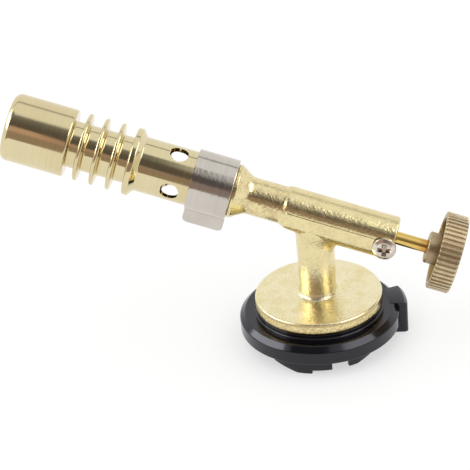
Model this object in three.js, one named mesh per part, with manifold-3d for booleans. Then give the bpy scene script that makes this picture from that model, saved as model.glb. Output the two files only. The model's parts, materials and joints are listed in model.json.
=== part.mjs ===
// A gas torch head for a bayonet butane cartridge: finned brass burner tube, air collar, cast body
// with its stem and disc, needle valve with a knurled knob, and the plastic ring that grips the cartridge.
// Millimetres, +Z up. The stem stands on the ring's axis. The barrel line falls toward the knob.
// Along the barrel, a place is a distance from the stem's axis: burner side negative, knob side positive.
import * as THREE from "three";
import { mergeVertices } from "three/addons/utils/BufferGeometryUtils.js";
import Module from "manifold-3d";

const wasm = await Module();
wasm.setup();

// Facets and helpers
const barrelSides = 28;
const baseSides = 36;
const bushSides = 20;
const smallSides = 14;
const seatGap = 0.3; // clearance between pieces that touch
const cutOverrun = 1; // how far a cutter runs past the face it opens
const weldDistance = 0.0001; // corners closer than this are one corner

// Barrel line
const barrelTiltAngle = 18;
const barrelHeight = 43.57; // barrel axis above the resting plane, on the stem's axis

// Burner tube, turned from one bar
const burnerRadius = 10.5; // head and fins
const burnerMouthPlace = -96.4;
const headLength = 19.8;
const headFrontRounding = 2.2;
const headRearRounding = 0.7;
const headWall = 1.3;
const headBoreDepth = 17;
const finHeight = 3.3; // from the neck between the fins
const throatRadius = 5.3;
const finCount = 3;
const finThickness = 1.95;
const finPitch = 5.17;
const firstFinOffset = 3.05; // from the head's rear edge
const finRootRounding = 0.5;
const beadLength = 3.35;
const beadOffset = 3.36; // from the last fin
const beadRearRounding = 1.1;
const tailInset = 2.05; // below the bead's round
const tailLength = 29.15;
const tailWall = 1.2;
const throatTaperLength = 4;
const throatTaperOffset = 2; // from the bead's rear face
const airHoleRadius = 2.9;
const airHoleOffset = 10.75; // from the bead's rear face
const airHoleCount = 4;
const airHoleTurnAngle = -13; // first hole, measured up from the near side

// Perforated flame holder in the head
const holderThickness = 3;
const holderHoleRadius = 1.15;
const holderHoleCount = 8;
const holderCentreRadius = 2.4;

// Air collar, bent from one strip
const collarWall = 0.7;
const collarLength = 12.7;
const collarEarLength = 5.4; // below the round
const collarEarGap = 0.5; // between the two pinched ends
const collarEarRounding = 1.3;
const collarBendRounding = 1.2;

// Cast barrel
const rimInset = 0.15; // below the burner's tail
const rimLength = 1.05;
const coneLength = 3.9;
const castNeckRadius = 5.8;
const castNeckEnd = 9.6; // burner side of the stem's axis
const castBodyRadius = 6.35;
const castBodyStepLength = 1.2;
const castBodyEnd = 25.8; // knob side
const castEdgeRounding = 0.5;
const spigotLength = 8;
const keelHalfWidth = 6.7;
const keelTop = 1.6; // parting line above the barrel axis
const keelFlatEnd = 2.2; // below the barrel axis, where the flat side turns under
const keelDepth = 6.9; // below the barrel axis
const keelNoseDepth = 6; // at the keel's burner end
const keelNoseLength = 10.5; // over which the keel deepens

// Bores along the barrel
const jetBoreRadius = 2.9;
const jetBoreDepth = 8.5;
const feedBoreRadius = 1.2;
const needleSeatPlace = -4;
const chamberRadius = 2.6;
const bushBoreRadius = 4.6;
const bushBoreDepth = 12;

// Stem and disc
const stemFootRadius = 5.6;
const stemHeadRadius = 5.9;
const stemFootFillet = 3;
const stemHeadFillet = 2;
const stemBuryDepth = 5.2; // how far the stem runs on inside the barrel
const discOverhang = 0.54; // beyond the land that it stands on
const discBottom = 12.1;
const discThickness = 3.65;
const discEdgeRounding = 0.7;
const discTopInset = 0.7; // draft of the side, from the bottom edge to the top
const stemBoreRadius = 1.5;
const bossRadius = 8;
const screwPillarRadius = 3.2;
const screwPillarLength = 1.8;

// Gas jet and its filter
const jetHeadRadius = 3.6;
const jetHeadLength = 2.4;
const jetShankLength = 5.5;
const jetNoseLength = 2;
const jetNoseRadius = 1.3;
const jetOrificeRadius = 0.35;
const jetInnerRadius = 1.4;
const filterThickness = 1.2;

// Valve bush, its seal and its screw
const bushInset = 0.3; // below the casting's rear face
const bushSealSection = 0.7; // radius of the rubber ring's section
const bushSealOffset = 2.6; // from the bush's inner end
const bushGrooveLength = 3.6;
const bushGrooveDepth = 0.7;
const retainingScrewOffset = 2.53; // from the casting's rear face
const retainingScrewDrop = 0.75; // below the barrel axis
const retainingHeadRadius = 3.6;
const retainingHeadThickness = 1.8;
const retainingShankRadius = 1.5;
const retainingSeatDepth = 6.1; // spot face, from the barrel axis
const crossLength = 3.8;
const crossWidth = 0.8;
const crossDepth = 0.9;

// Valve spindle and its seal
const spindleRadius = 2;
const needleRadius = 1.3;
const needleLength = 5;
const needleTipRadius = 0.4;
const needleTipLength = 2.5;
const spindleSealSection = 0.55;
const spindleSealPlace = 10.5;
const spindleEndPlace = 43.5;

// Control knob
const knobRadius = 12.05;
const knobFrontPlace = 39;
const knobLength = 6.7;
const knobRibCount = 48;
const knobRibDepth = 0.55;
const knobEdgeChamfer = 0.6;
const knobRimWall = 1.5;
const knobCupDepth = 4;
const knobHubRadius = 4.9;
const knobHubLength = 3.2; // toward the casting, in front of the rim
const knobScrewHeadRadius = 2.6;
const knobScrewHeadThickness = 1.2;
const knobScrewShankRadius = 1.1;
const knobScrewShankLength = 6;
const knobRearDishDepth = 0.8;
const knobRearDishRadius = 9.2;

// Bayonet ring
const flangeRadius = 24.9;
const flangeBottom = 4.85;
const flangeWallTop = 9.2;
const flangeTop = 10.6;
const flangeSlopeInset = 2.1; // from the flange's side to its top edge
const landInset = 5.3; // from the flange's side
const recessCeiling = 8.7;
const clawInset = 2.5; // from the flange's side
const clawWall = 1.4;
const clawLipReach = 1.6;
const clawLipThickness = 1.6;
const clawOverlapAngle = 1; // of the low step into the claw
const clawCount = 3;
const clawRampHeight = 2.5;
const clawStepHeight = 1.1;
const toothHeight = 1.2; // foot of the tooth above the resting plane
const toothRampHeight = 1.9;
const clawStartAngle = -123;
const clawFlatAngle = -102;
const clawEndAngle = -90;
const stepEndAngle = -74;
const toothStartAngle = -60.5;
const toothFlatAngle = -53;
const toothEndAngle = -37;
const lugReach = 2.5; // beyond the flange
const lugRootDepth = 2.9; // inside the flange
const lugHeight = 10.7;
const lugStartAngle = 5;
const lugEndAngle = 28;
const lugCornerRadius = 1.3;
const lugTopChamfer = 1;

// Screws that hold the ring to the disc
const ringScrewCount = 3;
const ringScrewTurnAngle = 60;
const ringScrewHeadRadius = 2.75;
const ringScrewHeadThickness = 1.6;
const ringScrewShankRadius = 1.35;
const ringScrewLength = 6.8;
const ringScrewBossRadius = 3.5;
const ringScrewBossLength = 1.5;
const ringScrewSkin = 1.17; // metal left above each blind hole

// Gas inlet
const inletFlangeRadius = 9.6;
const inletFlangeThickness = 2.5;
const inletNoseRadius = 6.4;
const inletNoseLength = 1.2;
const inletShankRadius = 4.7;
const inletShankLength = 4.9;
const inletBoreRadius = 1.6;
const inletMouthRadius = 4.2;
const inletMouthDepth = 3;
const inletSealBoreRadius = 2;
const inletSealThickness = 2.4;
const inletRingSection = 0.7;
const inletRingOffset = 2.2; // above the flange
const inletFilterRadius = 2.9;
const inletFilterThickness = 1;
const spannerNotchWidth = 3;
const spannerNotchDepth = 1.6;
const spannerNotchCount = 4;

// Places that follow from the sizes above
const barrelTilt = THREE.MathUtils.degToRad(barrelTiltAngle);
const headRearPlace = burnerMouthPlace + headLength;
const finPlaces = Array.from({ length: finCount }, (_, i) => headRearPlace + firstFinOffset + i * finPitch);
const beadPlace = finPlaces[finCount - 1] + finThickness + beadOffset;
const beadRearPlace = beadPlace + beadLength;
const tailRearPlace = beadRearPlace + tailLength;
const headBoreRadius = burnerRadius - headWall;
const neckRadius = burnerRadius - finHeight;
const tailRadius = burnerRadius - tailInset;
const tailBoreRadius = tailRadius - tailWall;
const rimRadius = tailRadius - rimInset;
const holderRadius = headBoreRadius - seatGap;
const holderRingRadius = (holderCentreRadius + holderRadius) / 2;
const airHolePlace = beadRearPlace + airHoleOffset;
const rimPlace = tailRearPlace + seatGap / 6;
const spigotPlace = rimPlace - spigotLength;
const jetPlace = spigotPlace - seatGap;
const collarRearPlace = tailRearPlace - seatGap / 3;
const collarPlace = collarRearPlace - collarLength;
const retainingScrewPlace = castBodyEnd - retainingScrewOffset;
const bushPlace = castBodyEnd - bushBoreDepth + seatGap;
const bushRearPlace = castBodyEnd - bushInset;
const bushRadius = bushBoreRadius - seatGap;
const bushRodRadius = spindleRadius + seatGap;
const knobRearPlace = knobFrontPlace + knobLength;
const flangeTopRadius = flangeRadius - flangeSlopeInset;
const landRadius = flangeRadius - landInset;
const clawOuterRadius = flangeRadius - clawInset;
const clawInnerRadius = clawOuterRadius - clawWall;
const clawLipRadius = clawInnerRadius - clawLipReach;
const lugRadius = flangeRadius + lugReach;
const lugRootRadius = flangeRadius - lugRootDepth;
const discRadius = landRadius + discOverhang;
const discTop = discBottom + discThickness;
const discTopRadius = discRadius - discTopInset;
const ringScrewRadius = (inletFlangeRadius + clawLipRadius) / 2; // midway between bush and lips
const ringScrewHeadPlace = recessCeiling - ringScrewBossLength;
const inletFlangePlace = recessCeiling - inletFlangeThickness;
const inletNosePlace = inletFlangePlace - inletNoseLength;
const inletShankTop = recessCeiling + inletShankLength;
const inletSocketRadius = inletShankRadius + seatGap;

// Solids

// Closed geometry as a solid, with the corners that share a place merged.
function solid(geometry) {
  const bare = new THREE.BufferGeometry();
  bare.setAttribute("position", geometry.getAttribute("position").clone());
  if (geometry.index) bare.setIndex(geometry.index.clone());
  const merged = mergeVertices(bare, weldDistance);
  const corners = [];
  const index = merged.index.array;
  for (let i = 0; i < index.length; i += 3) {
    const [a, b, c] = [index[i], index[i + 1], index[i + 2]];
    if (a !== b && b !== c && c !== a) corners.push(a, b, c);
  }
  const made = (triVerts) =>
    new wasm.Manifold(
      new wasm.Mesh({
        numProp: 3,
        vertProperties: new Float32Array(merged.attributes.position.array),
        triVerts: new Uint32Array(triVerts),
      }),
    );
  const body = made(corners);
  return body.volume() > 0 ? body : made(corners.reverse()); // faces point outwards either way
}

// A solid's surface as geometry with flat facets.
function surface(body) {
  const mesh = body.getMesh();
  const geometry = new THREE.BufferGeometry();
  geometry.setAttribute("position", new THREE.BufferAttribute(new Float32Array(mesh.vertProperties), 3));
  geometry.setIndex(new THREE.BufferAttribute(new Uint32Array(mesh.triVerts), 1));
  geometry.computeVertexNormals();
  return geometry;
}

// Points of an arc, angles in degrees from the first axis.
function arc(along, out, radius, fromAngle, toAngle, steps) {
  return Array.from({ length: steps + 1 }, (_, i) => {
    const angle = THREE.MathUtils.degToRad(fromAngle + ((toAngle - fromAngle) * i) / steps);
    return [along + radius * Math.cos(angle), out + radius * Math.sin(angle)];
  });
}

// Turned piece about Y from [place, radius] points. A profile off the axis is closed on itself.
function turned(profile, sides) {
  const points = profile.map(([along, radius]) => new THREE.Vector2(radius, along));
  const closed = points[0].x > 0 || points[points.length - 1].x > 0;
  if (closed) points.push(points[0].clone());
  const turn = THREE.ShapeUtils.area(points);
  return new THREE.LatheGeometry(turn < 0 ? points.reverse() : points, sides);
}

// Turned about the barrel's axis, burner side first.
const alongBarrel = (profile, sides = barrelSides) => turned(profile, sides).rotateZ(-Math.PI / 2);

// Turned about the stem's axis, from the bottom up.
const upright = (profile, sides = baseSides) => turned(profile, sides).rotateX(Math.PI / 2);

// Plain round bar between two places on a turned axis.
const bar = (from, to, radius) => [
  [from, 0],
  [from, radius],
  [to, radius],
  [to, 0],
];

// Rubber ring of round section about a turned axis.
const roundRing = (place, centreRadius, section) => arc(place, centreRadius, section, 0, 300, 5);

// Tube between two places, of two radii.
const sleeve = (from, to, inner, outer) => [
  [from, inner],
  [from, outer],
  [to, outer],
  [to, inner],
];

// Ring sector about the stem's axis, between two heights, angles in degrees.
function sector(inner, outer, fromAngle, toAngle, low, high) {
  const [from, to] = [fromAngle, toAngle].map(THREE.MathUtils.degToRad);
  const shape = new THREE.Shape();
  shape.absarc(0, 0, outer, from, to, false);
  shape.absarc(0, 0, inner, to, from, true);
  const depth = high - low;
  const block = new THREE.ExtrudeGeometry(shape, { depth, bevelEnabled: false, curveSegments: 4 });
  return block.translate(0, 0, low);
}

// Skin over rings of points that run from the bottom up, each counterclockwise from above.
function lofted(rings) {
  const count = rings[0].length;
  const corners = [];
  const ringStart = (level) => level * count;
  for (let level = 0; level < rings.length - 1; level++) {
    for (let i = 0; i < count; i++) {
      const next = (i + 1) % count;
      const [low, high] = [ringStart(level), ringStart(level + 1)];
      corners.push(low + i, low + next, high + next, low + i, high + next, high + i);
    }
  }
  const top = ringStart(rings.length - 1);
  for (let i = 1; i < count - 1; i++) corners.push(0, i + 1, i, top, top + i, top + i + 1);
  const geometry = new THREE.BufferGeometry().setFromPoints(rings.flat());
  return geometry.setIndex(corners);
}

// Barrel's frame seen from the stem's: the barrel's line is its X.
const barrelFrame = new THREE.Matrix4().makeRotationY(barrelTilt).setPosition(0, 0, barrelHeight);

const spread = (count, make) => Array.from({ length: count }, (_, i) => make(i));
const joined = (parts) => parts.reduce((sum, part) => sum.add(part));
const cut = (body, tools) => tools.reduce((rest, tool) => rest.subtract(tool), body);

// Pieces on the barrel line

// One fin: root fillet, flank, round tip, flank and root fillet.
function finProfile(place) {
  const tip = finThickness / 2;
  const rear = place + finThickness;
  return [
    ...arc(place - finRootRounding, neckRadius + finRootRounding, finRootRounding, 270, 360, 1),
    ...arc(place + tip, burnerRadius - tip, tip, 180, 0, 4),
    ...arc(rear + finRootRounding, neckRadius + finRootRounding, finRootRounding, 180, 270, 1),
  ];
}

function burnerTube() {
  const headFront = burnerRadius - headFrontRounding;
  const lipStart = Math.max(headBoreRadius - headFront, 0);
  const lipTurn = Math.asin(lipStart / headFrontRounding); // the bore ends the front rounding
  const frontCentre = burnerMouthPlace + headFrontRounding * Math.cos(lipTurn);
  const frontTurn = 180 - THREE.MathUtils.radToDeg(lipTurn);
  const headRear = burnerRadius - headRearRounding;
  const beadTip = beadLength / 4;
  const beadRear = burnerRadius - beadRearRounding;
  const outside = [
    ...arc(frontCentre, headFront, headFrontRounding, frontTurn, 90, 4),
    ...arc(headRearPlace - headRearRounding, headRear, headRearRounding, 90, 0, 2),
    ...arc(headRearPlace + finRootRounding, neckRadius + finRootRounding, finRootRounding, 180, 270, 1),
    ...finPlaces.flatMap(finProfile),
    ...arc(beadPlace - finRootRounding, neckRadius + finRootRounding, finRootRounding, 270, 360, 1),
    ...arc(beadPlace + beadTip, burnerRadius - beadTip, beadTip, 180, 90, 2),
    ...arc(beadRearPlace - beadRearRounding, beadRear, beadRearRounding, 90, 0, 3),
    ...arc(beadRearPlace + finRootRounding, tailRadius + finRootRounding, finRootRounding, 180, 270, 1),
    [tailRearPlace, tailRadius],
  ];
  const throatRear = beadRearPlace - throatTaperOffset;
  const inside = [
    [tailRearPlace, tailBoreRadius],
    [throatRear, tailBoreRadius],
    [throatRear - throatTaperLength, throatRadius],
    [burnerMouthPlace + headBoreDepth, throatRadius],
    [burnerMouthPlace + headBoreDepth, headBoreRadius],
    [burnerMouthPlace, headBoreRadius],
  ];
  const tube = solid(alongBarrel([...outside, ...inside]));
  const airHoles = spread(airHoleCount, (i) => {
    const turn = THREE.MathUtils.degToRad(airHoleTurnAngle + (i * 360) / airHoleCount);
    const drill = new THREE.CylinderGeometry(airHoleRadius, airHoleRadius, burnerRadius, smallSides);
    drill.translate(0, -burnerRadius / 2 - tailBoreRadius / 2, 0).rotateX(-turn);
    return solid(drill.translate(airHolePlace, 0, 0));
  });
  return surface(cut(tube, airHoles));
}

function flameHolder() {
  const rear = burnerMouthPlace + headBoreDepth - seatGap;
  const front = rear - holderThickness;
  const plate = solid(alongBarrel(sleeve(front, rear, holderCentreRadius, holderRadius)));
  const holes = spread(holderHoleCount, (i) => {
    const turn = (i * 2 * Math.PI) / holderHoleCount;
    const drill = new THREE.CylinderGeometry(holderHoleRadius, holderHoleRadius, holderThickness * 2, 8);
    drill.rotateZ(-Math.PI / 2).translate((front + rear) / 2, 0, holderRingRadius);
    return solid(drill.rotateX(turn));
  });
  return surface(cut(plate, holes));
}

// Strip bent round the tube, with its two ends turned down side by side. Drawn across the barrel.
function airCollar() {
  const inner = tailRadius + seatGap;
  const outer = inner + collarWall;
  const halfGap = collarEarGap / 2;
  const earSide = halfGap + collarWall;
  const earBottom = -outer - collarEarLength;
  const bendOut = earSide + collarBendRounding;
  const bendHeight = -Math.sqrt((outer + collarBendRounding) ** 2 - bendOut ** 2);
  const bendTurn = Math.atan2(bendHeight, bendOut);
  const gapTurn = Math.asin(halfGap / inner);
  const down = -Math.PI / 2;
  const shape = new THREE.Shape();
  shape.moveTo(earSide, earBottom);
  shape.lineTo(earSide, bendHeight);
  shape.absarc(bendOut, bendHeight, collarBendRounding, Math.PI, bendTurn + Math.PI, true);
  shape.absarc(0, 0, outer, bendTurn, Math.PI - bendTurn, false);
  shape.absarc(-bendOut, bendHeight, collarBendRounding, -bendTurn, 0, true);
  shape.lineTo(-earSide, earBottom);
  shape.lineTo(-halfGap, earBottom);
  shape.absarc(0, 0, inner, down - gapTurn, down + gapTurn, true);
  shape.lineTo(halfGap, earBottom);
  const strip = new THREE.ExtrudeGeometry(shape, {
    depth: collarLength,
    bevelEnabled: false,
    curveSegments: 14,
  });
  // Shape's X runs across the barrel, its Y up the barrel's side, and the strip's length along the barrel.
  const across = new THREE.Matrix4().makeBasis(
    new THREE.Vector3(0, 1, 0),
    new THREE.Vector3(0, 0, 1),
    new THREE.Vector3(1, 0, 0),
  );
  strip.applyMatrix4(across).translate(collarPlace, 0, 0);
  return surface(solid(strip).intersect(solid(collarSide(outer, earBottom))));
}

// Collar seen from the side: square on top, with the ears' lower corners rounded.
function collarSide(outer, earBottom) {
  const low = earBottom + collarEarRounding;
  const side = new THREE.Shape();
  side.moveTo(collarPlace, outer + cutOverrun);
  side.lineTo(collarPlace, low);
  side.absarc(collarPlace + collarEarRounding, low, collarEarRounding, Math.PI, 1.5 * Math.PI, false);
  side.absarc(collarRearPlace - collarEarRounding, low, collarEarRounding, 1.5 * Math.PI, 2 * Math.PI, false);
  side.lineTo(collarRearPlace, outer + cutOverrun);
  const width = 2 * (outer + cutOverrun);
  const block = new THREE.ExtrudeGeometry(side, { depth: width, bevelEnabled: false, curveSegments: 4 });
  return block.rotateX(Math.PI / 2).translate(0, width / 2, 0);
}

function gasJet() {
  const shankRadius = jetBoreRadius - seatGap;
  const headFront = jetPlace - jetHeadLength;
  const nose = headFront - jetNoseLength;
  const rear = jetPlace + jetShankLength;
  return alongBarrel(
    [
      [nose, jetOrificeRadius],
      [nose, jetNoseRadius],
      [headFront, jetNoseRadius * 2],
      [headFront, jetHeadRadius],
      [jetPlace, jetHeadRadius],
      [jetPlace, shankRadius],
      [rear, shankRadius],
      [rear, jetInnerRadius],
      [headFront, jetInnerRadius],
      [headFront, jetOrificeRadius],
    ],
    smallSides,
  );
}

function jetFilter() {
  const front = jetPlace + jetShankLength + seatGap;
  return alongBarrel(bar(front, front + filterThickness, jetBoreRadius - seatGap), smallSides);
}

function valveBush() {
  const sealPlace = bushPlace + bushSealOffset;
  const sealGroove = bushRadius - 2 * bushSealSection - seatGap;
  const sealHalf = bushSealSection + seatGap;
  const screwHalf = bushGrooveLength / 2;
  return alongBarrel([
    [bushPlace, bushRodRadius],
    [bushPlace, bushRadius],
    [sealPlace - sealHalf, bushRadius],
    [sealPlace - sealHalf, sealGroove],
    [sealPlace + sealHalf, sealGroove],
    [sealPlace + sealHalf, bushRadius],
    [retainingScrewPlace - screwHalf, bushRadius],
    [retainingScrewPlace - screwHalf, bushRadius - bushGrooveDepth],
    [retainingScrewPlace + screwHalf, bushRadius - bushGrooveDepth],
    [retainingScrewPlace + screwHalf, bushRadius],
    [bushRearPlace, bushRadius],
    [bushRearPlace, bushRodRadius],
  ], bushSides);
}

function bushSeal() {
  const section = roundRing(bushPlace + bushSealOffset, bushRadius - bushSealSection, bushSealSection);
  return alongBarrel(section, bushSides);
}

// Pan head with a cross recess on the near side, its shank reaching into the bush's groove.
function retainingScrew() {
  const headInner = retainingSeatDepth + seatGap;
  const headOuter = headInner + retainingHeadThickness;
  const rounding = retainingHeadThickness / 2;
  const tip = bushRadius - bushGrooveDepth + seatGap;
  const screw = turned(
    [
      [tip, 0],
      [tip, retainingShankRadius],
      [headInner, retainingShankRadius],
      [headInner, retainingHeadRadius],
      ...arc(headOuter - rounding, retainingHeadRadius - rounding, rounding, 90, 0, 3),
      [headOuter, 0],
    ],
    smallSides,
  ).rotateX(Math.PI);
  const slots = [0, Math.PI / 2].map((turn) => {
    const slot = new THREE.BoxGeometry(crossLength, crossDepth * 2, crossWidth);
    return solid(slot.rotateY(turn).translate(0, -headOuter, 0));
  });
  return surface(cut(solid(screw), slots)).translate(retainingScrewPlace, 0, -retainingScrewDrop);
}

function valveSpindle() {
  const needleStart = needleSeatPlace - needleTipLength / 2;
  const needleTaperEnd = needleStart + needleTipLength;
  const grooveHalf = spindleSealSection + seatGap;
  const grooveRadius = chamberRadius - 2 * spindleSealSection - 2 * seatGap;
  const screwHole = knobScrewShankRadius + seatGap;
  const holeStart = knobRearPlace - knobScrewHeadThickness - seatGap - knobScrewShankLength - seatGap;
  return alongBarrel(
    [
      [needleStart, 0],
      [needleStart, needleTipRadius],
      [needleTaperEnd, needleRadius],
      [needleStart + needleLength, needleRadius],
      [needleStart + needleLength, spindleRadius],
      [spindleSealPlace - grooveHalf, spindleRadius],
      [spindleSealPlace - grooveHalf, grooveRadius],
      [spindleSealPlace + grooveHalf, grooveRadius],
      [spindleSealPlace + grooveHalf, spindleRadius],
      [spindleEndPlace, spindleRadius],
      [spindleEndPlace, screwHole],
      [holeStart, screwHole],
      [holeStart, 0],
    ],
    smallSides,
  );
}

function spindleSeal() {
  const centreRadius = chamberRadius - spindleSealSection - seatGap;
  return alongBarrel(roundRing(spindleSealPlace, centreRadius, spindleSealSection), smallSides);
}

// Straight-knurled rim with a cup toward the casting, a long hub, and a shallow dish behind.
function controlKnob() {
  const root = knobRadius - knobRibDepth;
  const ribShares = [
    [0, 0],
    [0.2, 1],
    [0.55, 1],
    [0.75, 0],
  ]; // turn share of one rib, and share of the rib's depth
  const outline = spread(knobRibCount, (rib) =>
    ribShares.map(([turnShare, depthShare]) => {
      const turn = ((rib + turnShare) * 2 * Math.PI) / knobRibCount;
      const radius = root + depthShare * knobRibDepth;
      return new THREE.Vector2(radius * Math.cos(turn), radius * Math.sin(turn));
    }),
  ).flat();
  const rim = new THREE.ExtrudeGeometry(new THREE.Shape(outline), { depth: knobLength, bevelEnabled: false });
  rim.rotateY(Math.PI / 2).translate(knobFrontPlace, 0, 0);
  const flat = knobRadius - knobEdgeChamfer;
  const envelope = alongBarrel([
    [knobFrontPlace, 0],
    [knobFrontPlace, flat],
    [knobFrontPlace + knobEdgeChamfer, knobRadius + knobRibDepth / 5],
    [knobRearPlace - knobEdgeChamfer, knobRadius + knobRibDepth / 5],
    [knobRearPlace, flat],
    [knobRearPlace, 0],
  ]);
  const cupFloor = knobFrontPlace + knobCupDepth;
  const cup = alongBarrel([
    [knobFrontPlace - cutOverrun, knobHubRadius],
    [knobFrontPlace - cutOverrun, root - knobRimWall + knobEdgeChamfer],
    [knobFrontPlace + knobEdgeChamfer, root - knobRimWall],
    [cupFloor, root - knobRimWall - knobEdgeChamfer],
    [cupFloor, knobHubRadius],
  ]);
  const hub = alongBarrel(bar(knobFrontPlace - knobHubLength, cupFloor + seatGap, knobHubRadius));
  const screwSeat = knobRearPlace - knobScrewHeadThickness - 2 * seatGap;
  const bores = alongBarrel([
    [knobFrontPlace - knobHubLength - cutOverrun, 0],
    [knobFrontPlace - knobHubLength - cutOverrun, spindleRadius + seatGap],
    [spindleEndPlace + seatGap, spindleRadius + seatGap],
    [spindleEndPlace + seatGap, knobScrewShankRadius + seatGap],
    [screwSeat, knobScrewShankRadius + seatGap],
    [screwSeat, knobScrewHeadRadius + seatGap],
    [knobRearPlace + cutOverrun, knobScrewHeadRadius + seatGap],
    [knobRearPlace + cutOverrun, 0],
  ]);
  const dish = alongBarrel([
    [knobRearPlace - knobRearDishDepth, 2 * knobHubRadius - knobScrewHeadRadius],
    [knobRearPlace - knobRearDishDepth, knobRearDishRadius],
    [knobRearPlace + cutOverrun, knobRearDishRadius + cutOverrun],
    [knobRearPlace + cutOverrun, 2 * knobHubRadius - knobScrewHeadRadius - cutOverrun],
  ]);
  const wheel = solid(rim).intersect(solid(envelope)).subtract(solid(cup)).add(solid(hub));
  return surface(cut(wheel, [solid(bores), solid(dish)]));
}

function knobScrew() {
  const headEnd = knobRearPlace - seatGap;
  const headStart = headEnd - knobScrewHeadThickness;
  return alongBarrel(
    [
      [headStart - knobScrewShankLength, 0],
      [headStart - knobScrewShankLength, knobScrewShankRadius],
      [headStart, knobScrewShankRadius],
      [headStart, knobScrewHeadRadius],
      [headEnd - knobScrewHeadThickness / 2, knobScrewHeadRadius],
      [headEnd, knobScrewHeadRadius - knobScrewHeadThickness / 2],
      [headEnd, 0],
    ],
    smallSides,
  );
}

// Cast body

// Round barrel from the spigot inside the burner tube to the rear face.
function castBarrel() {
  const coneEnd = rimPlace + rimLength + coneLength;
  return alongBarrel([
    [spigotPlace, 0],
    [spigotPlace, tailBoreRadius - seatGap],
    [rimPlace, tailBoreRadius - seatGap],
    [rimPlace, rimRadius],
    [rimPlace + rimLength, rimRadius],
    [coneEnd, castNeckRadius],
    [-castNeckEnd, castNeckRadius],
    [-castNeckEnd + castBodyStepLength, castBodyRadius],
    ...arc(castBodyEnd - castEdgeRounding, castBodyRadius - castEdgeRounding, castEdgeRounding, 90, 0, 2),
    [castBodyEnd, 0],
  ]);
}

// Lower half of the barrel: flat sides under the parting line, and a round underside that deepens
// from the neck to behind the stem.
function castKeel() {
  const nose = -castNeckEnd + castBodyStepLength;
  const undersideSteps = 10;
  const deepeningShares = [0, 0.35, 0.7, 1];
  const section = (place, depth) => [
    new THREE.Vector3(place, keelHalfWidth, keelTop),
    ...spread(undersideSteps + 1, (i) => {
      const turn = (i * Math.PI) / undersideSteps;
      const drop = keelFlatEnd + (depth - keelFlatEnd) * Math.sin(turn);
      return new THREE.Vector3(place, keelHalfWidth * Math.cos(turn), -drop);
    }),
    new THREE.Vector3(place, -keelHalfWidth, keelTop),
  ];
  const sections = deepeningShares.map((share) => {
    const depth = keelNoseDepth + Math.sin((share * Math.PI) / 2) * (keelDepth - keelNoseDepth);
    return section(nose + share * keelNoseLength, depth);
  });
  return lofted([...sections, section(castBodyEnd - castEdgeRounding, keelDepth)]);
}

// Stem: a fillet on the disc, a slight taper, and a saddle that leans into the tilted barrel.
function castStem() {
  const barrelUnderside = barrelHeight - keelDepth / Math.cos(barrelTilt);
  const footSteps = 4;
  const headSteps = 3;
  const level = (height, halfLength, halfWidth) => ({ height, halfLength, halfWidth });
  const foot = spread(footSteps + 1, (i) => {
    const turn = (i * Math.PI) / 2 / footSteps;
    const radius = stemFootRadius + stemFootFillet * (1 - Math.sin(turn));
    return level(discTop + stemFootFillet * (1 - Math.cos(turn)), radius, radius);
  });
  const head = spread(headSteps + 1, (i) => {
    const turn = (i * Math.PI) / 2 / headSteps;
    const flare = stemHeadFillet * (1 - Math.cos(turn));
    const height = barrelUnderside - stemHeadFillet * (1 - Math.sin(turn));
    return level(height, stemHeadRadius + flare, stemHeadRadius);
  });
  const flared = stemHeadRadius + stemHeadFillet;
  const levels = [
    level(discTop - discThickness / 2, foot[0].halfLength, foot[0].halfWidth),
    ...foot,
    ...head,
    level(barrelUnderside + stemBuryDepth, flared, stemHeadRadius),
  ];
  const leanStart = discTop + stemFootFillet;
  return lofted(
    levels.map(({ height, halfLength, halfWidth }) => {
      const leanShare = THREE.MathUtils.clamp((height - leanStart) / (barrelUnderside - leanStart), 0, 1);
      return spread(barrelSides, (i) => {
        const turn = (i * 2 * Math.PI) / barrelSides;
        const x = halfLength * Math.cos(turn);
        const lean = -x * Math.tan(barrelTilt) * leanShare;
        return new THREE.Vector3(x, halfWidth * Math.sin(turn), height + lean);
      });
    }),
  );
}

// Disc with a rounded top edge, and below it the boss for the gas inlet.
function castDisc() {
  const edge = discTopRadius - discEdgeRounding;
  return upright([
    [recessCeiling, 0],
    [recessCeiling, bossRadius],
    [discBottom, bossRadius],
    [discBottom, discRadius],
    ...arc(discTop - discEdgeRounding, edge, discEdgeRounding, 90, 0, 3),
    [discTop, 0],
  ]);
}

// Places round the stem's axis where the ring's screws stand.
const ringScrewTurns = spread(ringScrewCount, (i) =>
  THREE.MathUtils.degToRad(ringScrewTurnAngle + (i * 360) / ringScrewCount),
);
function atRingScrew(profile, turn) {
  const [x, y] = [ringScrewRadius * Math.cos(turn), ringScrewRadius * Math.sin(turn)];
  return upright(profile, smallSides).translate(x, y, 0);
}
const atRingScrews = (profile) => ringScrewTurns.map((turn) => solid(atRingScrew(profile, turn)));

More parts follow.
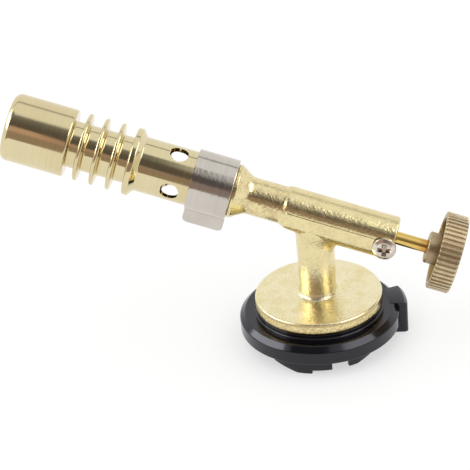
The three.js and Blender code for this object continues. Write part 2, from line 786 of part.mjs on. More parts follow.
function bodyCasting() {
  const outside = joined([
    solid(castBarrel().applyMatrix4(barrelFrame)),
    solid(castKeel().applyMatrix4(barrelFrame)),
    solid(castStem()),
    solid(castDisc()),
    ...atRingScrews(bar(discBottom - screwPillarLength, discTop - discEdgeRounding, screwPillarRadius)),
  ]);
  const barrelBores = alongBarrel(
    [
      [spigotPlace - cutOverrun, 0],
      [spigotPlace - cutOverrun, jetBoreRadius],
      [spigotPlace + jetBoreDepth, jetBoreRadius],
      [spigotPlace + jetBoreDepth, feedBoreRadius],
      [needleSeatPlace, feedBoreRadius],
      [needleSeatPlace + needleTipLength / 2 + seatGap, chamberRadius],
      [castBodyEnd - bushBoreDepth, chamberRadius],
      [castBodyEnd - bushBoreDepth, bushBoreRadius],
      [castBodyEnd + cutOverrun, bushBoreRadius],
      [castBodyEnd + cutOverrun, 0],
    ],
    smallSides,
  ).applyMatrix4(barrelFrame);
  const retainingHole = turned(
    [
      [feedBoreRadius, 0],
      [feedBoreRadius, retainingShankRadius + seatGap],
      [retainingSeatDepth, retainingShankRadius + seatGap],
      [retainingSeatDepth, retainingHeadRadius + seatGap],
      [keelHalfWidth + cutOverrun, retainingHeadRadius + seatGap],
      [keelHalfWidth + cutOverrun, 0],
    ],
    smallSides,
  )
    .rotateX(Math.PI)
    .translate(retainingScrewPlace, 0, -retainingScrewDrop)
    .applyMatrix4(barrelFrame);
  const inletTop = inletShankTop + seatGap;
  const stemBores = upright(
    [
      [recessCeiling - cutOverrun, 0],
      [recessCeiling - cutOverrun, inletSocketRadius],
      [inletTop, inletSocketRadius],
      [inletTop, stemBoreRadius],
      [barrelHeight, stemBoreRadius],
      [barrelHeight, 0],
    ],
    smallSides,
  );
  const pillarFoot = discBottom - screwPillarLength;
  const screwHoles = atRingScrews(
    bar(pillarFoot - cutOverrun, discTop - ringScrewSkin, ringScrewShankRadius + seatGap),
  );
  return surface(cut(outside, [solid(barrelBores), solid(retainingHole), solid(stemBores), ...screwHoles]));
}

// Pieces on the stem's axis

// Block under a plane that rises from one angle to another: it slopes the foot of a claw or a tooth.
function footSlope(fromAngle, toAngle, fromHeight, toHeight) {
  const middle = (clawOuterRadius + clawLipRadius) / 2;
  const sweep = THREE.MathUtils.degToRad(toAngle - fromAngle);
  const slope = Math.atan2(toHeight - fromHeight, Math.abs(sweep) * middle);
  const block = new THREE.BoxGeometry(clawOuterRadius, clawOuterRadius, clawOuterRadius / 2);
  block.translate(middle, (Math.sign(sweep) * clawOuterRadius) / 2, -clawOuterRadius / 4);
  block.rotateX(Math.sign(sweep) * slope);
  return block.rotateZ(THREE.MathUtils.degToRad(fromAngle)).translate(0, 0, fromHeight);
}

// One third of the ring's grip: a claw with its lip and ramp, the low step beside it, and a tooth.
function grip(turnAngle) {
  const top = flangeBottom + seatGap;
  const wall = (from, to, low) => solid(sector(clawInnerRadius, clawOuterRadius, from, to, low, top));
  const lipRoot = clawInnerRadius + seatGap;
  const lip = sector(clawLipRadius, lipRoot, clawStartAngle, clawEndAngle, 0, clawLipThickness);
  const claw = wall(clawStartAngle, clawEndAngle, 0)
    .add(solid(lip))
    .subtract(solid(footSlope(clawFlatAngle, clawStartAngle, 0, clawRampHeight)));
  const toothTop = toothHeight + toothRampHeight;
  const tooth = wall(toothStartAngle, toothEndAngle, toothHeight).subtract(
    solid(footSlope(toothFlatAngle, toothEndAngle, toothHeight, toothTop)),
  );
  const step = wall(clawEndAngle - clawOverlapAngle, stepEndAngle, clawStepHeight);
  const third = surface(joined([claw, tooth, step]));
  return solid(third.rotateZ(THREE.MathUtils.degToRad(turnAngle)));
}

// Index lug on the ring's side, from the foot to the ring's top.
function indexLug() {
  const [from, to] = [lugStartAngle, lugEndAngle].map(THREE.MathUtils.degToRad);
  const cornerRadius = Math.min(lugCornerRadius, lugReach);
  const cornerCentre = lugRadius - cornerRadius;
  const inset = Math.asin(cornerRadius / cornerCentre);
  const corner = (turn) => [cornerCentre * Math.cos(turn), cornerCentre * Math.sin(turn)];
  const quarter = Math.PI / 2;
  const shape = new THREE.Shape();
  shape.moveTo(lugRootRadius * Math.cos(from), lugRootRadius * Math.sin(from));
  shape.absarc(...corner(from + inset), cornerRadius, from - quarter, from + inset, false);
  shape.absarc(0, 0, lugRadius, from + inset, to - inset, false);
  shape.absarc(...corner(to - inset), cornerRadius, to - inset, to + quarter, false);
  shape.absarc(0, 0, lugRootRadius, to, from, true);
  const block = new THREE.ExtrudeGeometry(shape, { depth: lugHeight, bevelEnabled: false, curveSegments: 4 });
  const bevel = upright([
    [-cutOverrun, 0],
    [-cutOverrun, lugRadius + cutOverrun],
    [lugHeight - lugTopChamfer - cutOverrun, lugRadius + cutOverrun],
    [lugHeight, lugRadius - lugTopChamfer],
    [lugHeight + cutOverrun, lugRadius - lugTopChamfer],
    [lugHeight + cutOverrun, 0],
  ]);
  return solid(block).intersect(solid(bevel));
}

function bayonetBase() {
  const hubRadius = bossRadius + seatGap;
  const plate = upright([
    [recessCeiling, hubRadius],
    [recessCeiling, clawInnerRadius],
    [flangeBottom, clawInnerRadius],
    [flangeBottom, flangeRadius - seatGap],
    [flangeBottom + seatGap, flangeRadius],
    [flangeWallTop, flangeRadius],
    [flangeTop, flangeTopRadius],
    [flangeTop, landRadius],
    [discBottom, landRadius],
    [discBottom, hubRadius],
  ]);
  const grips = spread(clawCount, (i) => grip((i * 360) / clawCount));
  const bosses = atRingScrews(bar(ringScrewHeadPlace, discBottom - screwPillarLength, ringScrewBossRadius));
  const holeRadius = ringScrewShankRadius + seatGap;
  const pocketFloor = discBottom - screwPillarLength - seatGap;
  const holes = atRingScrews([
    [ringScrewHeadPlace - cutOverrun, 0],
    [ringScrewHeadPlace - cutOverrun, holeRadius],
    [pocketFloor, holeRadius],
    [pocketFloor, screwPillarRadius + seatGap],
    [discBottom + cutOverrun, screwPillarRadius + seatGap],
    [discBottom + cutOverrun, 0],
  ]);
  const recess = solid(upright(sleeve(-cutOverrun, recessCeiling, seatGap, clawInnerRadius)));
  const lug = indexLug().subtract(recess);
  return surface(cut(joined([solid(plate), ...grips, ...bosses, lug]), holes));
}

function ringScrew(turn) {
  const low = ringScrewHeadPlace - ringScrewHeadThickness;
  const rounding = ringScrewHeadThickness / 2;
  const profile = [
    [low, 0],
    ...arc(low + rounding, ringScrewHeadRadius - rounding, rounding, 180, 90, 2),
    [ringScrewHeadPlace, ringScrewHeadRadius],
    [ringScrewHeadPlace, ringScrewShankRadius],
    [ringScrewHeadPlace + ringScrewLength, ringScrewShankRadius],
    [ringScrewHeadPlace + ringScrewLength, 0],
  ];
  return atRingScrew(profile, turn);
}

// Threaded bush that the cartridge's nozzle enters, with notches for a pin spanner.
function inletBush() {
  const ringPlace = recessCeiling + inletRingOffset;
  const ringHalf = inletRingSection + seatGap;
  const groove = inletShankRadius - 2 * inletRingSection - seatGap;
  const filterSeat = inletShankTop - inletFilterThickness - seatGap;
  const bush = upright(
    [
      [inletNosePlace, inletMouthRadius],
      [inletNosePlace, inletNoseRadius],
      [inletFlangePlace, inletNoseRadius],
      [inletFlangePlace, inletFlangeRadius],
      [recessCeiling, inletFlangeRadius],
      [recessCeiling, inletShankRadius],
      [ringPlace - ringHalf, inletShankRadius],
      [ringPlace - ringHalf, groove],
      [ringPlace + ringHalf, groove],
      [ringPlace + ringHalf, inletShankRadius],
      [inletShankTop, inletShankRadius],
      [inletShankTop, inletFilterRadius + seatGap],
      [filterSeat, inletFilterRadius + seatGap],
      [filterSeat, inletBoreRadius],
      [inletNosePlace + inletMouthDepth, inletBoreRadius],
      [inletNosePlace + inletMouthDepth, inletMouthRadius],
    ],
    bushSides,
  );
  const notches = spread(spannerNotchCount, (i) => {
    const notch = new THREE.BoxGeometry(spannerNotchDepth * 2, spannerNotchWidth, inletFlangeThickness * 2);
    notch.translate(inletFlangeRadius, 0, inletFlangePlace);
    return solid(notch.rotateZ((i * 2 * Math.PI) / spannerNotchCount));
  });
  return surface(cut(solid(bush), notches));
}

function inletSeal() {
  const low = inletNosePlace + seatGap;
  return upright(
    sleeve(low, low + inletSealThickness, inletSealBoreRadius, inletMouthRadius - seatGap),
    smallSides,
  );
}

function inletRing() {
  const centreRadius = inletShankRadius - inletRingSection;
  return upright(roundRing(recessCeiling + inletRingOffset, centreRadius, inletRingSection), smallSides);
}

function inletFilter() {
  const low = inletShankTop - inletFilterThickness - seatGap;
  return upright(bar(low, low + inletFilterThickness, inletFilterRadius), smallSides);
}

// Finishes
const finish = (color, roughness, metalness) =>
  new THREE.MeshStandardMaterial({ color, roughness, metalness });
const polishedBrass = finish(0xe3cf8c, 0.18, 1);
const castBrass = finish(0xd9bf72, 0.42, 1);
const plainBrass = finish(0xc9a955, 0.32, 1);
const dullBrass = finish(0xb39446, 0.45, 1);
const satinSteel = finish(0xc4bfb8, 0.38, 1);
const nickel = finish(0xd0cfca, 0.25, 1);
const blackPlastic = finish(0x1b1b1e, 0.3, 0);
const blackRubber = finish(0x151515, 0.85, 0);
const sinteredBronze = finish(0x9c7a44, 0.8, 1);

function piece(name, geometry, material) {
  const mesh = new THREE.Mesh(geometry, material);
  mesh.name = name;
  return mesh;
}

// Assembly
const barrel = new THREE.Group();
barrel.position.set(0, 0, barrelHeight);
barrel.rotation.y = barrelTilt;
barrel.add(
  piece("burner_tube", burnerTube(), polishedBrass),
  piece("flame_holder", flameHolder(), plainBrass),
  piece("air_collar", airCollar(), satinSteel),
  piece("gas_jet", gasJet(), plainBrass),
  piece("jet_filter", jetFilter(), sinteredBronze),
  piece("valve_bush", valveBush(), plainBrass),
  piece("bush_seal", bushSeal(), blackRubber),
  piece("retaining_screw", retainingScrew(), nickel),
  piece("valve_spindle", valveSpindle(), plainBrass),
  piece("spindle_seal", spindleSeal(), blackRubber),
  piece("control_knob", controlKnob(), dullBrass),
  piece("knob_screw", knobScrew(), nickel),
);

const group = new THREE.Group();
group.add(
  barrel,
  piece("body_casting", bodyCasting(), castBrass),
  piece("bayonet_base", bayonetBase(), blackPlastic),
  ...ringScrewTurns.map((turn, i) => piece(`base_screw_${i + 1}`, ringScrew(turn), nickel)),
  piece("inlet_bush", inletBush(), plainBrass),
  piece("inlet_seal", inletSeal(), blackRubber),
  piece("inlet_ring", inletRing(), blackRubber),
  piece("inlet_filter", inletFilter(), sinteredBronze),
);

// The origin is the middle of the object's plan, on the plane that it stands on.
group.updateMatrixWorld(true);
const extent = new THREE.Box3().setFromObject(group, true);
const middle = extent.getCenter(new THREE.Vector3());
group.position.set(-middle.x, -middle.y, -extent.min.z);

export default group;
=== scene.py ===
import json
from math import asin, atan, atan2, cos, pi, radians, sin, sqrt, tan

import bmesh
import bpy
from mathutils import Matrix, Vector


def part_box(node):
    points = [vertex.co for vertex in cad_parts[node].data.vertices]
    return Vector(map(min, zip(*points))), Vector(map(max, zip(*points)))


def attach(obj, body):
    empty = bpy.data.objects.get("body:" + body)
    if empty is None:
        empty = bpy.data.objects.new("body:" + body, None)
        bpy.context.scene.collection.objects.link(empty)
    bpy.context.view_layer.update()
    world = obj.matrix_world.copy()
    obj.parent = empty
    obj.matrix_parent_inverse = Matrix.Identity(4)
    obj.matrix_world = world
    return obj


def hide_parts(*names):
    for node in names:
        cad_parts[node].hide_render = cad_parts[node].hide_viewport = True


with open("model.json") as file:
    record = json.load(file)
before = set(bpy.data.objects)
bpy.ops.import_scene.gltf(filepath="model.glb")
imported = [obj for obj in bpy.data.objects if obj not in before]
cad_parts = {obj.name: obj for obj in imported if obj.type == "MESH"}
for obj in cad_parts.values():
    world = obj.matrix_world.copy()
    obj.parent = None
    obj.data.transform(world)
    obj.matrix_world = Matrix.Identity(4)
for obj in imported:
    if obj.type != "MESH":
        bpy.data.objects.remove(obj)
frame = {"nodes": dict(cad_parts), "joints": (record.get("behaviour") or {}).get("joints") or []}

# Brass gas torch head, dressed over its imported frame.
# Sizes are in millimetres and degrees; a piece becomes metres when its mesh is set in place.
mm = 0.001
scene = bpy.context.scene
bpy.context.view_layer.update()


class Sizes(dict):
    # A dictionary whose values also read as attributes.
    __getattr__ = dict.__getitem__


# Frames: the barrel's z runs from burner to knob, its x points up and its y to the near side.
knobTurn = next(joint for joint in frame["joints"] if joint["name"] == "knob_turn")
sealLow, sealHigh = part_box("inlet_seal")
stemX = (sealLow[0] + sealHigh[0]) / 2
alongBarrel = Vector(knobTurn["axis"]).normalized()
hingePoint = Vector(knobTurn["pos_m"])
barrelCentre = hingePoint - alongBarrel * ((hingePoint.x - stemX) / alongBarrel.x)
nearSide = Vector((0, -1, 0))
barrelUp = nearSide.cross(alongBarrel)


def frameOf(origin, xAxis, yAxis, zAxis):
    turn = Matrix((xAxis, yAxis, zAxis)).transposed().to_4x4()
    return Matrix.Translation(origin) @ turn


barrelFrame = frameOf(barrelCentre, barrelUp, nearSide, alongBarrel)
stemFrame = Matrix.Translation((stemX, 0, 0))
print("frame loaded:", len(frame["nodes"]), "nodes, stem axis at", round(stemX, 5))


def between(start, end, steps):
    return [start + (end - start) * k / steps for k in range(steps + 1)]


def softened(points, steps=5, loop=False):
    # Points are (place, radius, rounding). A rounded corner becomes an arc with a tight point beside
    # each end, which keeps the flats next to it flat in the shading.
    made = []
    count = len(points)
    for i, point in enumerate(points):
        here = Vector(point[:2])
        rounding = point[2] if len(point) > 2 else 0
        if not rounding or (not loop and i in (0, count - 1)):
            made.append(here)
            continue
        before = Vector(points[i - 1][:2]) - here
        after = Vector(points[(i + 1) % count][:2]) - here
        half = before.angle(after) / 2
        reach = min(rounding / tan(half), 0.48 * min(before.length, after.length))
        rounding = reach * tan(half)
        a, b = before.normalized(), after.normalized()
        centre = here + (a + b).normalized() * rounding / sin(half)
        start, end = here + a * reach, here + b * reach
        fromTurn = atan2(*(start - centre).yx)
        sweep = atan2(*(end - centre).yx) - fromTurn
        sweep = (sweep + pi) % (2 * pi) - pi
        bends = max(2, round(steps * abs(sweep) / (pi / 2)))
        tight = 0.12 * rounding
        if before.length > 3 * reach:
            made.append(start + a * tight)
        for turn in between(fromTurn, fromTurn + sweep, bends):
            made.append(centre + Vector((cos(turn), sin(turn))) * rounding)
        if after.length > 3 * reach:
            made.append(end + b * tight)
    return [(p.x, p.y) for p in made]


def meshOf(points, faces):
    mesh = bpy.data.meshes.new("shape")
    mesh.from_pydata([tuple(p) for p in points], [], faces)
    return mesh


def outward(mesh):
    bm = bmesh.new()
    bm.from_mesh(mesh)
    bmesh.ops.remove_doubles(bm, verts=bm.verts, dist=1e-5)
    bmesh.ops.dissolve_degenerate(bm, edges=bm.edges, dist=1e-6)
    bmesh.ops.recalc_face_normals(bm, faces=bm.faces)
    bm.to_mesh(mesh)
    bm.free()
    return mesh


def walls(rows, loop=False):
    # Faces between rows of point numbers; a point on the axis repeats its number.
    faces = []
    for rowA, rowB in zip(rows, rows[1:] + (rows[:1] if loop else [])):
        for i in range(len(rowA)):
            j = (i + 1) % len(rowA)
            corners = list(dict.fromkeys((rowA[i], rowA[j], rowB[j], rowB[i])))
            if len(corners) > 2:
                faces.append(corners)
    return faces


def turned(profile, sides, loop=False):
    # Turns (place, radius) points about z.
    points, rows = [], []
    for corner in profile:
        place, radius = corner[:2]
        if radius < 1e-6:
            rows.append([len(points)] * sides)
            points.append((0, 0, place))
            continue
        rows.append([len(points) + i for i in range(sides)])
        for i in range(sides):
            turn = 2 * pi * i / sides
            points.append((radius * cos(turn), radius * sin(turn), place))
    return outward(meshOf(points, walls(rows, loop)))


def stepped(place, *values):
    # Corners of a stepped outline: a place, a radius, then in turn the next radius or place.
    # A value in a tuple has its corner's rounding beside it.
    here, corners = [place, 0], []
    for i, value in enumerate(values):
        here[i % 2 if i else 1], rounding = value if isinstance(value, tuple) else (value, 0)
        corners.append((*here, rounding))
    return corners


def grooveAt(place, half, inner, outer):
    # A groove's values for a stepped outline.
    return place - half, inner, place + half, outer


def turnedRing(corners, steps, sides):
    # Turns a closed outline with rounded corners about z.
    return turned(softened(corners, steps, loop=True), sides, loop=True)


def blockRing(low, high, size, sides):
    # A ring with a block for its section.
    values = ((value, size.edge) for value in (size.inner, size.outer, high, size.inner))
    return turnedRing(stepped(low, *values), 4, sides)


def rod(sides, place, *steps):
    # A stepped rod on z: places, with the radius between each two.
    return turned(stepped(place, 0, *steps, 0), sides)


def skinned(rows):
    # Joins rings of equally many points and caps the two ends.
    count = len(rows[0])
    numbers = [range(r * count, (r + 1) * count) for r in range(len(rows))]
    return outward(meshOf([p for row in rows for p in row], walls(numbers) + [numbers[0], numbers[-1]]))


def moved(mesh, matrix):
    mesh.transform(matrix)
    return mesh


def linked(name, content):
    item = bpy.data.objects.new(name, content)
    scene.collection.objects.link(item)
    return item


def evaluated(item):
    return bpy.data.meshes.new_from_object(item.evaluated_get(bpy.context.evaluated_depsgraph_get()))


def cutWith(mesh, tools, operation="DIFFERENCE"):
    # Joins, cuts or crosses a closed mesh with others, one after the other.
    base = linked("base", mesh)
    helpers = [linked("tool", tool) for tool in tools]
    for helper in helpers:
        step = base.modifiers.new("step", "BOOLEAN")
        step.operation = operation
        step.solver = "MANIFOLD"
        step.object = helper
    made = evaluated(base)
    for used in [base] + helpers:
        bpy.data.objects.remove(used)
    return made


def beveled(mesh, width, bends=2, sharpAngle=30):
    bm = bmesh.new()
    bm.from_mesh(mesh)
    sharp = [e for e in bm.edges if len(e.link_faces) == 2 and e.calc_face_angle(0) > radians(sharpAngle)]
    how = {"segments": bends, "profile": 0.5, "affect": "EDGES", "clamp_overlap": True}
    bmesh.ops.bevel(bm, geom=sharp, offset=width, **how)
    bm.to_mesh(mesh)
    bm.free()
    return outward(mesh)


def addPiece(name, mesh, place, finish, nodes, body="torch", crease=32):
    mesh.transform(place @ Matrix.Scale(mm, 4))
    bm = bmesh.new()
    bm.from_mesh(mesh)
    for face in bm.faces:
        face.smooth = True
        face.material_index = 0
    for edge in bm.edges:
        edge.smooth = len(edge.link_faces) == 2 and edge.calc_face_angle(0) < radians(crease)
    bm.to_mesh(mesh)
    bm.free()
    mesh.materials.clear()
    mesh.materials.append(finish)
    piece = linked(name, mesh)
    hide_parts(*nodes)
    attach(piece, body)
    print("made", name, "with", len(mesh.polygons), "faces")


def nodeIn(tree, kind, inputs=None, **settings):
    node = tree.nodes.new(kind)
    for key, value in settings.items():
        setattr(node, key, value)
    for key, value in (inputs or {}).items():
        if isinstance(value, bpy.types.NodeSocket):
            tree.links.new(value, node.inputs[key])
        else:
            node.inputs[key].default_value = value
    return node.outputs


def fed(kind, inputs, output=0, **settings):
    # An output of a node that stands in the tree of the sockets that feed it.
    tree = next(value.id_data for value in inputs.values() if isinstance(value, bpy.types.NodeSocket))
    return nodeIn(tree, kind, inputs, **settings)[output]


def partsOf(vector):
    return nodeIn(vector.id_data, "ShaderNodeSeparateXYZ", {0: vector})


def sumOf(operation, a, b=0.0, c=0.0):
    return fed("ShaderNodeMath", {0: a, 1: b, 2: c}, operation=operation)


def times(a, b):
    return sumOf("MULTIPLY", a, b)


def lengthOf(x, y):
    return sumOf("SQRT", sumOf("MULTIPLY_ADD", x, x, times(y, y)))


def vectorOf(**parts):
    return fed("ShaderNodeCombineXYZ", parts)


def sizedTree(name, sizes):
    # A Geometry Nodes tree that takes a mesh, named sizes and a finish, and gives a mesh.
    tree = bpy.data.node_groups.new(name, "GeometryNodeTree")
    tree.interface.new_socket("Mesh", in_out="INPUT", socket_type="NodeSocketGeometry")
    for label, value in sizes.items():
        kind = "NodeSocketInt" if isinstance(value, int) else "NodeSocketFloat"
        tree.interface.new_socket(label, in_out="INPUT", socket_type=kind).default_value = value
    tree.interface.new_socket("Finish", in_out="INPUT", socket_type="NodeSocketMaterial")
    tree.interface.new_socket("Mesh", in_out="OUTPUT", socket_type="NodeSocketGeometry")
    return tree, tree.nodes.new("NodeGroupInput").outputs


def closeTree(tree, given, geometry):
    whole = fed("GeometryNodeRealizeInstances", {"Geometry": geometry})
    coated = fed("GeometryNodeSetMaterial", {"Geometry": whole, "Material": given["Finish"]})
    tree.links.new(coated, tree.nodes.new("NodeGroupOutput").inputs["Mesh"])
    return tree


def grown(mesh, tree, sizes, finish):
    # Runs a tree on a mesh and gives the plain mesh that comes out.
    holder = linked("holder", mesh)
    step = holder.modifiers.new("nodes", "NODES")
    step.node_group = tree
    for item in tree.interface.items_tree:
        if item.in_out == "INPUT" and item.name in sizes:
            step[item.identifier] = sizes[item.name]
        if item.in_out == "INPUT" and item.name == "Finish":
            step[item.identifier] = finish
    made = evaluated(holder)
    holder.modifiers.clear()
    bpy.data.objects.remove(holder)
    return made


circleSizes = {"First turn": 0.0, "Circle": 8.0, "Place": 0.0}
holeSizes = {"Holes": 4, **circleSizes, "Hole": 1.0, "Depth": 5.0}


def aroundAxis(tree, given, count, shape, lean=0.0):
    # Copies of a shape on a circle about z, each turned with its place.
    index = nodeIn(tree, "GeometryNodeInputIndex")[0]
    turn = sumOf("MULTIPLY_ADD", index, sumOf("DIVIDE", 2 * pi, count), given["First turn"])
    x = times(sumOf("COSINE", turn), given["Circle"])
    y = times(sumOf("SINE", turn), given["Circle"])
    points = fed("GeometryNodePoints", {"Count": count, "Position": vectorOf(X=x, Y=y, Z=given["Place"])})
    aim = vectorOf(Y=lean, Z=turn)
    return fed("GeometryNodeInstanceOnPoints", {"Points": points, "Instance": shape, "Rotation": aim})


def holed(tree, given, solid, corners, lean):
    drill = {"Vertices": corners, "Radius": given["Hole"], "Depth": given["Depth"]}
    drills = aroundAxis(tree, given, given["Holes"], fed("GeometryNodeMeshCylinder", drill), lean)
    tools = {"Mesh 1": solid, "Mesh 2": fed("GeometryNodeRealizeInstances", {"Geometry": drills})}
    return fed("GeometryNodeMeshBoolean", tools, operation="DIFFERENCE", solver="MANIFOLD")


def drilledTree():
    # Holes along the axis, on a circle.
    tree, given = sizedTree("drilled holes", holeSizes)
    return closeTree(tree, given, holed(tree, given, given["Mesh"], 56, 0.0))


def turnedTubeTree():
    # Sweeps an outline round the axis and drills holes through its wall.
    tree, given = sizedTree("turned and drilled tube", {"Sides": 200, "Guide": 8.0, **holeSizes})
    outline = fed("GeometryNodeMeshToCurve", {"Mesh": given["Mesh"]})
    guide = fed("GeometryNodeCurvePrimitiveCircle", {"Resolution": given["Sides"], "Radius": given["Guide"]})
    swept = fed("GeometryNodeCurveToMesh", {"Curve": guide, "Profile Curve": outline})
    return closeTree(tree, given, holed(tree, given, swept, 64, pi / 2))


def repeatedTree():
    # Sets copies of a mesh round the axis; Circle is nothing for copies that are drawn in place.
    tree, given = sizedTree("set round the axis", {"Copies": 3, **circleSizes})
    return closeTree(tree, given, aroundAxis(tree, given, given["Copies"], given["Mesh"]))


def ribbedTree():
    # Pulls the outer wall of a turned rim in between its ribs; chamfers stay where they are lower.
    tree, given = sizedTree("ribbed rim", {"Ribs": 48, "Radius": 12.0, "Depth": 0.5, "Wall": 1.2})
    x, y, z = partsOf(nodeIn(tree, "GeometryNodeInputPosition")[0])
    radius = lengthOf(x, y)
    wave = sumOf("COSINE", times(sumOf("ARCTAN2", y, x), given["Ribs"]))
    flank = spread(sumOf("MULTIPLY_ADD", wave, 0.5, 0.5), 0.04, 0.72, 1.0, 0.0)
    target = sumOf("MINIMUM", radius, sumOf("SUBTRACT", given["Radius"], times(flank, given["Depth"])))
    factor = sumOf("DIVIDE", target, sumOf("MAXIMUM", radius, 0.001))
    spot = vectorOf(X=times(x, factor), Y=times(y, factor), Z=z)
    inside = sumOf("SUBTRACT", given["Radius"], given["Wall"])
    onWall = fed("FunctionNodeCompare", {0: radius, 1: inside}, operation="GREATER_THAN")
    ribs = {"Geometry": given["Mesh"], "Selection": onWall, "Position": spot}
    return closeTree(tree, given, fed("GeometryNodeSetPosition", ribs))


def objectSpot(tree):
    return nodeIn(tree, "ShaderNodeTexCoord")["Object"]


def onPiece(tree, place):
    # Object coordinates in millimetres about a piece's own axis: place along it, radius and turn.
    there = {"Location": place.to_translation(), "Rotation": place.to_euler(), "Scale": (mm, mm, mm)}
    mapped = fed("ShaderNodeMapping", {"Vector": objectSpot(tree), **there}, vector_type="TEXTURE")
    x, y, z = partsOf(mapped)
    return mapped, z, lengthOf(x, y), sumOf("ARCTAN2", y, x)


def noiseOn(vector, size, detail=3.0, rough=0.5):
    # Noise whose blotches are about as wide as size.
    noise = {"Vector": vector, "Scale": 0.5 / size, "Detail": detail, "Roughness": rough}
    return fed("ShaderNodeTexNoise", noise)


def spread(value, low, high, toLow=0.0, toHigh=1.0):
    ends = {"From Min": low, "From Max": high, "To Min": toLow, "To Max": toHigh}
    return fed("ShaderNodeMapRange", {"Value": value, **ends}, interpolation_type="SMOOTHSTEP")


def blended(share, colourA, colourB, kind="MIX"):
    colours = {0: share, 6: colourA, 7: colourB}
    return fed("ShaderNodeMix", colours, output=2, data_type="RGBA", blend_type=kind)


def raised(height, depth, below=None):
    inputs = {"Height": height, "Distance": depth * mm, "Strength": 1.0}
    if below:
        inputs["Normal"] = below
    return fed("ShaderNodeBump", inputs)


def finishOf(name, build, *values):
    # A material whose shader comes from build(tree, *values).
    finish = bpy.data.materials.new(name)
    finish.use_nodes = True
    tree = finish.node_tree
    tree.nodes.clear()
    tree.links.new(build(tree, *values), tree.nodes.new("ShaderNodeOutputMaterial").inputs[0])
    return finish


def surfaceOf(colour, roughness, normal, more):
    sockets = {"Base Color": colour, "Roughness": roughness, "Normal": normal, **more}
    return fed("ShaderNodeBsdfPrincipled", sockets)


drilled, repeated, ribbed, turnedTube = drilledTree(), repeatedTree(), ribbedTree(), turnedTubeTree()


def turnedMetal(tree, place, look):
    # Bar metal with rings left by the tool, a few clouded patches and hardly any waves.
    mapped, along, radius, turn = onPiece(tree, place)
    patches = spread(noiseOn(mapped, look.patch), 0.38, 0.66)
    rings = noiseOn(vectorOf(X=along, Y=radius, Z=times(turn, 0.05)), look.ring, 4.0, 0.65)
    shade = spread(rings, 0.3, 0.7, 1.0 - look.ringShade, 1.0)
    colour = blended(1.0, blended(patches, look.colour, look.cloud), shade, "MULTIPLY")
    for tone, *limits in look.get("marks", []):  # colour marks, each kept within its limits: painted shade in recesses, a painted reflection, and darker zones
        share = 1.0
        for axis, *ends in limits:
            share = times(share, spread(along if axis == "along" else radius, *ends))
        colour = blended(share, colour, tone)
    roughness = spread(patches, 0.0, 1.0, *look.roughness)
    roughness = sumOf("ADD", roughness, spread(rings, 0.35, 0.75, 0.0, look.ringRough))
    waves = raised(noiseOn(mapped, look.wave, 1.0), look.waveDepth)
    return surfaceOf(colour, roughness, raised(rings, look.ringDepth, waves), {"Metallic": 1.0})


def castMetal(tree, place, look):
    # Die-cast brass, tumbled bright: browner on the neck and pale near the disc. The disc's side is grainy,
    # with painted reflections: darker toward its bottom, as the black ring would mirror there, and a thin
    # dark band under its top edge.
    mapped, along = onPiece(tree, place)[:2]
    height = times(partsOf(objectSpot(tree))["Z"], 1 / mm)
    clouds = noiseOn(mapped, look.cloudSize, 4.0, 0.55)
    speckle = noiseOn(mapped, look.speckleSize, 2.0, 0.6)
    share = spread(sumOf("MULTIPLY_ADD", speckle, 0.5, times(clouds, 0.5)), 0.44, 0.62)
    onNeck = spread(along, look.neckEnd - 2.0, look.neckEnd, look.neckShare, look.bodyShare)
    aboveDisc = spread(height, look.discTop, look.discTop + look.paleRise)
    colour = blended(times(share, onNeck), look.colour, look.cloud)
    colour = blended(aboveDisc, blended(share, look.pale, look.paleCloud), colour)
    atSide = spread(height, look.discTop - 0.6, look.discTop - 0.3, 1.0, 0.0)
    fine = spread(noiseOn(mapped, look.sideGrain, 2.0, 0.6), 0.4, 0.62, 0.0, 0.6)
    # painted reflection: the disc's side darkens toward its bottom as if it mirrored the black ring below;
    # the fine grain added to it is the metal's own
    dark = sumOf("ADD", fine, spread(height, look.sideLow, look.sideHigh, 0.7, 0.0))
    # painted reflection: a thin dark band under the disc's top edge, where its rounding would mirror the dark
    # camera side
    edge = look.discTop - look.edgeLine
    paintedEdgeReflection = spread(height, edge - 0.45, edge - 0.2, 0.0, 0.7)
    paintedEdgeReflection = times(paintedEdgeReflection, spread(height, edge + 0.1, edge + 0.3, 1.0, 0.0))
    side = blended(sumOf("MAXIMUM", dark, paintedEdgeReflection), look.sideColour, look.sideDark)
    dull = times(spread(aboveDisc, 0.0, 1.0, look.discDull, 0.0), spread(atSide, 0.0, 1.0, 1.0, 0.2))
    roughness = sumOf("ADD", spread(clouds, 0.35, 0.7, *look.roughness), dull)
    waves = raised(noiseOn(mapped, look.waveSize, 2.0, 0.45), look.waveDepth)
    grain = raised(noiseOn(mapped, look.grainSize, 3.0, 0.6), look.grainDepth, waves)
    pits = raised(spread(speckle, 0.62, 0.72, 1.0, 0.0), look.pitDepth, grain)
    return surfaceOf(blended(atSide, colour, side), roughness, pits, {"Metallic": 1.0})


def moulded(tree, place, look):
    # Moulded plastic or rubber: slight flow clouds and a fine skin.
    mapped = onPiece(tree, place)[0]
    clouds = noiseOn(mapped, look.cloudSize, 4.0, 0.6)
    colour = blended(spread(clouds, 0.35, 0.68), look.colour, look.cloud)
    waves = raised(noiseOn(mapped, look.waveSize, 1.0), look.waveDepth)
    skin = raised(noiseOn(mapped, look.skinSize, 2.0, 0.5), look.skinDepth, waves)
    gloss = {"IOR": look.gloss, "Specular Tint": look.tint}
    return surfaceOf(colour, spread(clouds, 0.3, 0.7, *look.roughness), skin, gloss)


def sintered(tree, place, look):
    # Sintered bronze: round grains pressed together.
    cells = {"Vector": onPiece(tree, place)[0], "Scale": 1.0 / look.grain}
    away = fed("ShaderNodeTexVoronoi", cells)
    colour = blended(spread(away, 0.1, 0.6), look.colour, look.gap)
    bumps = raised(spread(away, 0.0, 0.7, 1.0, 0.0), look.depth)
    return surfaceOf(colour, spread(away, 0.1, 0.6, 0.4, 0.8), bumps, {"Metallic": 1.0})


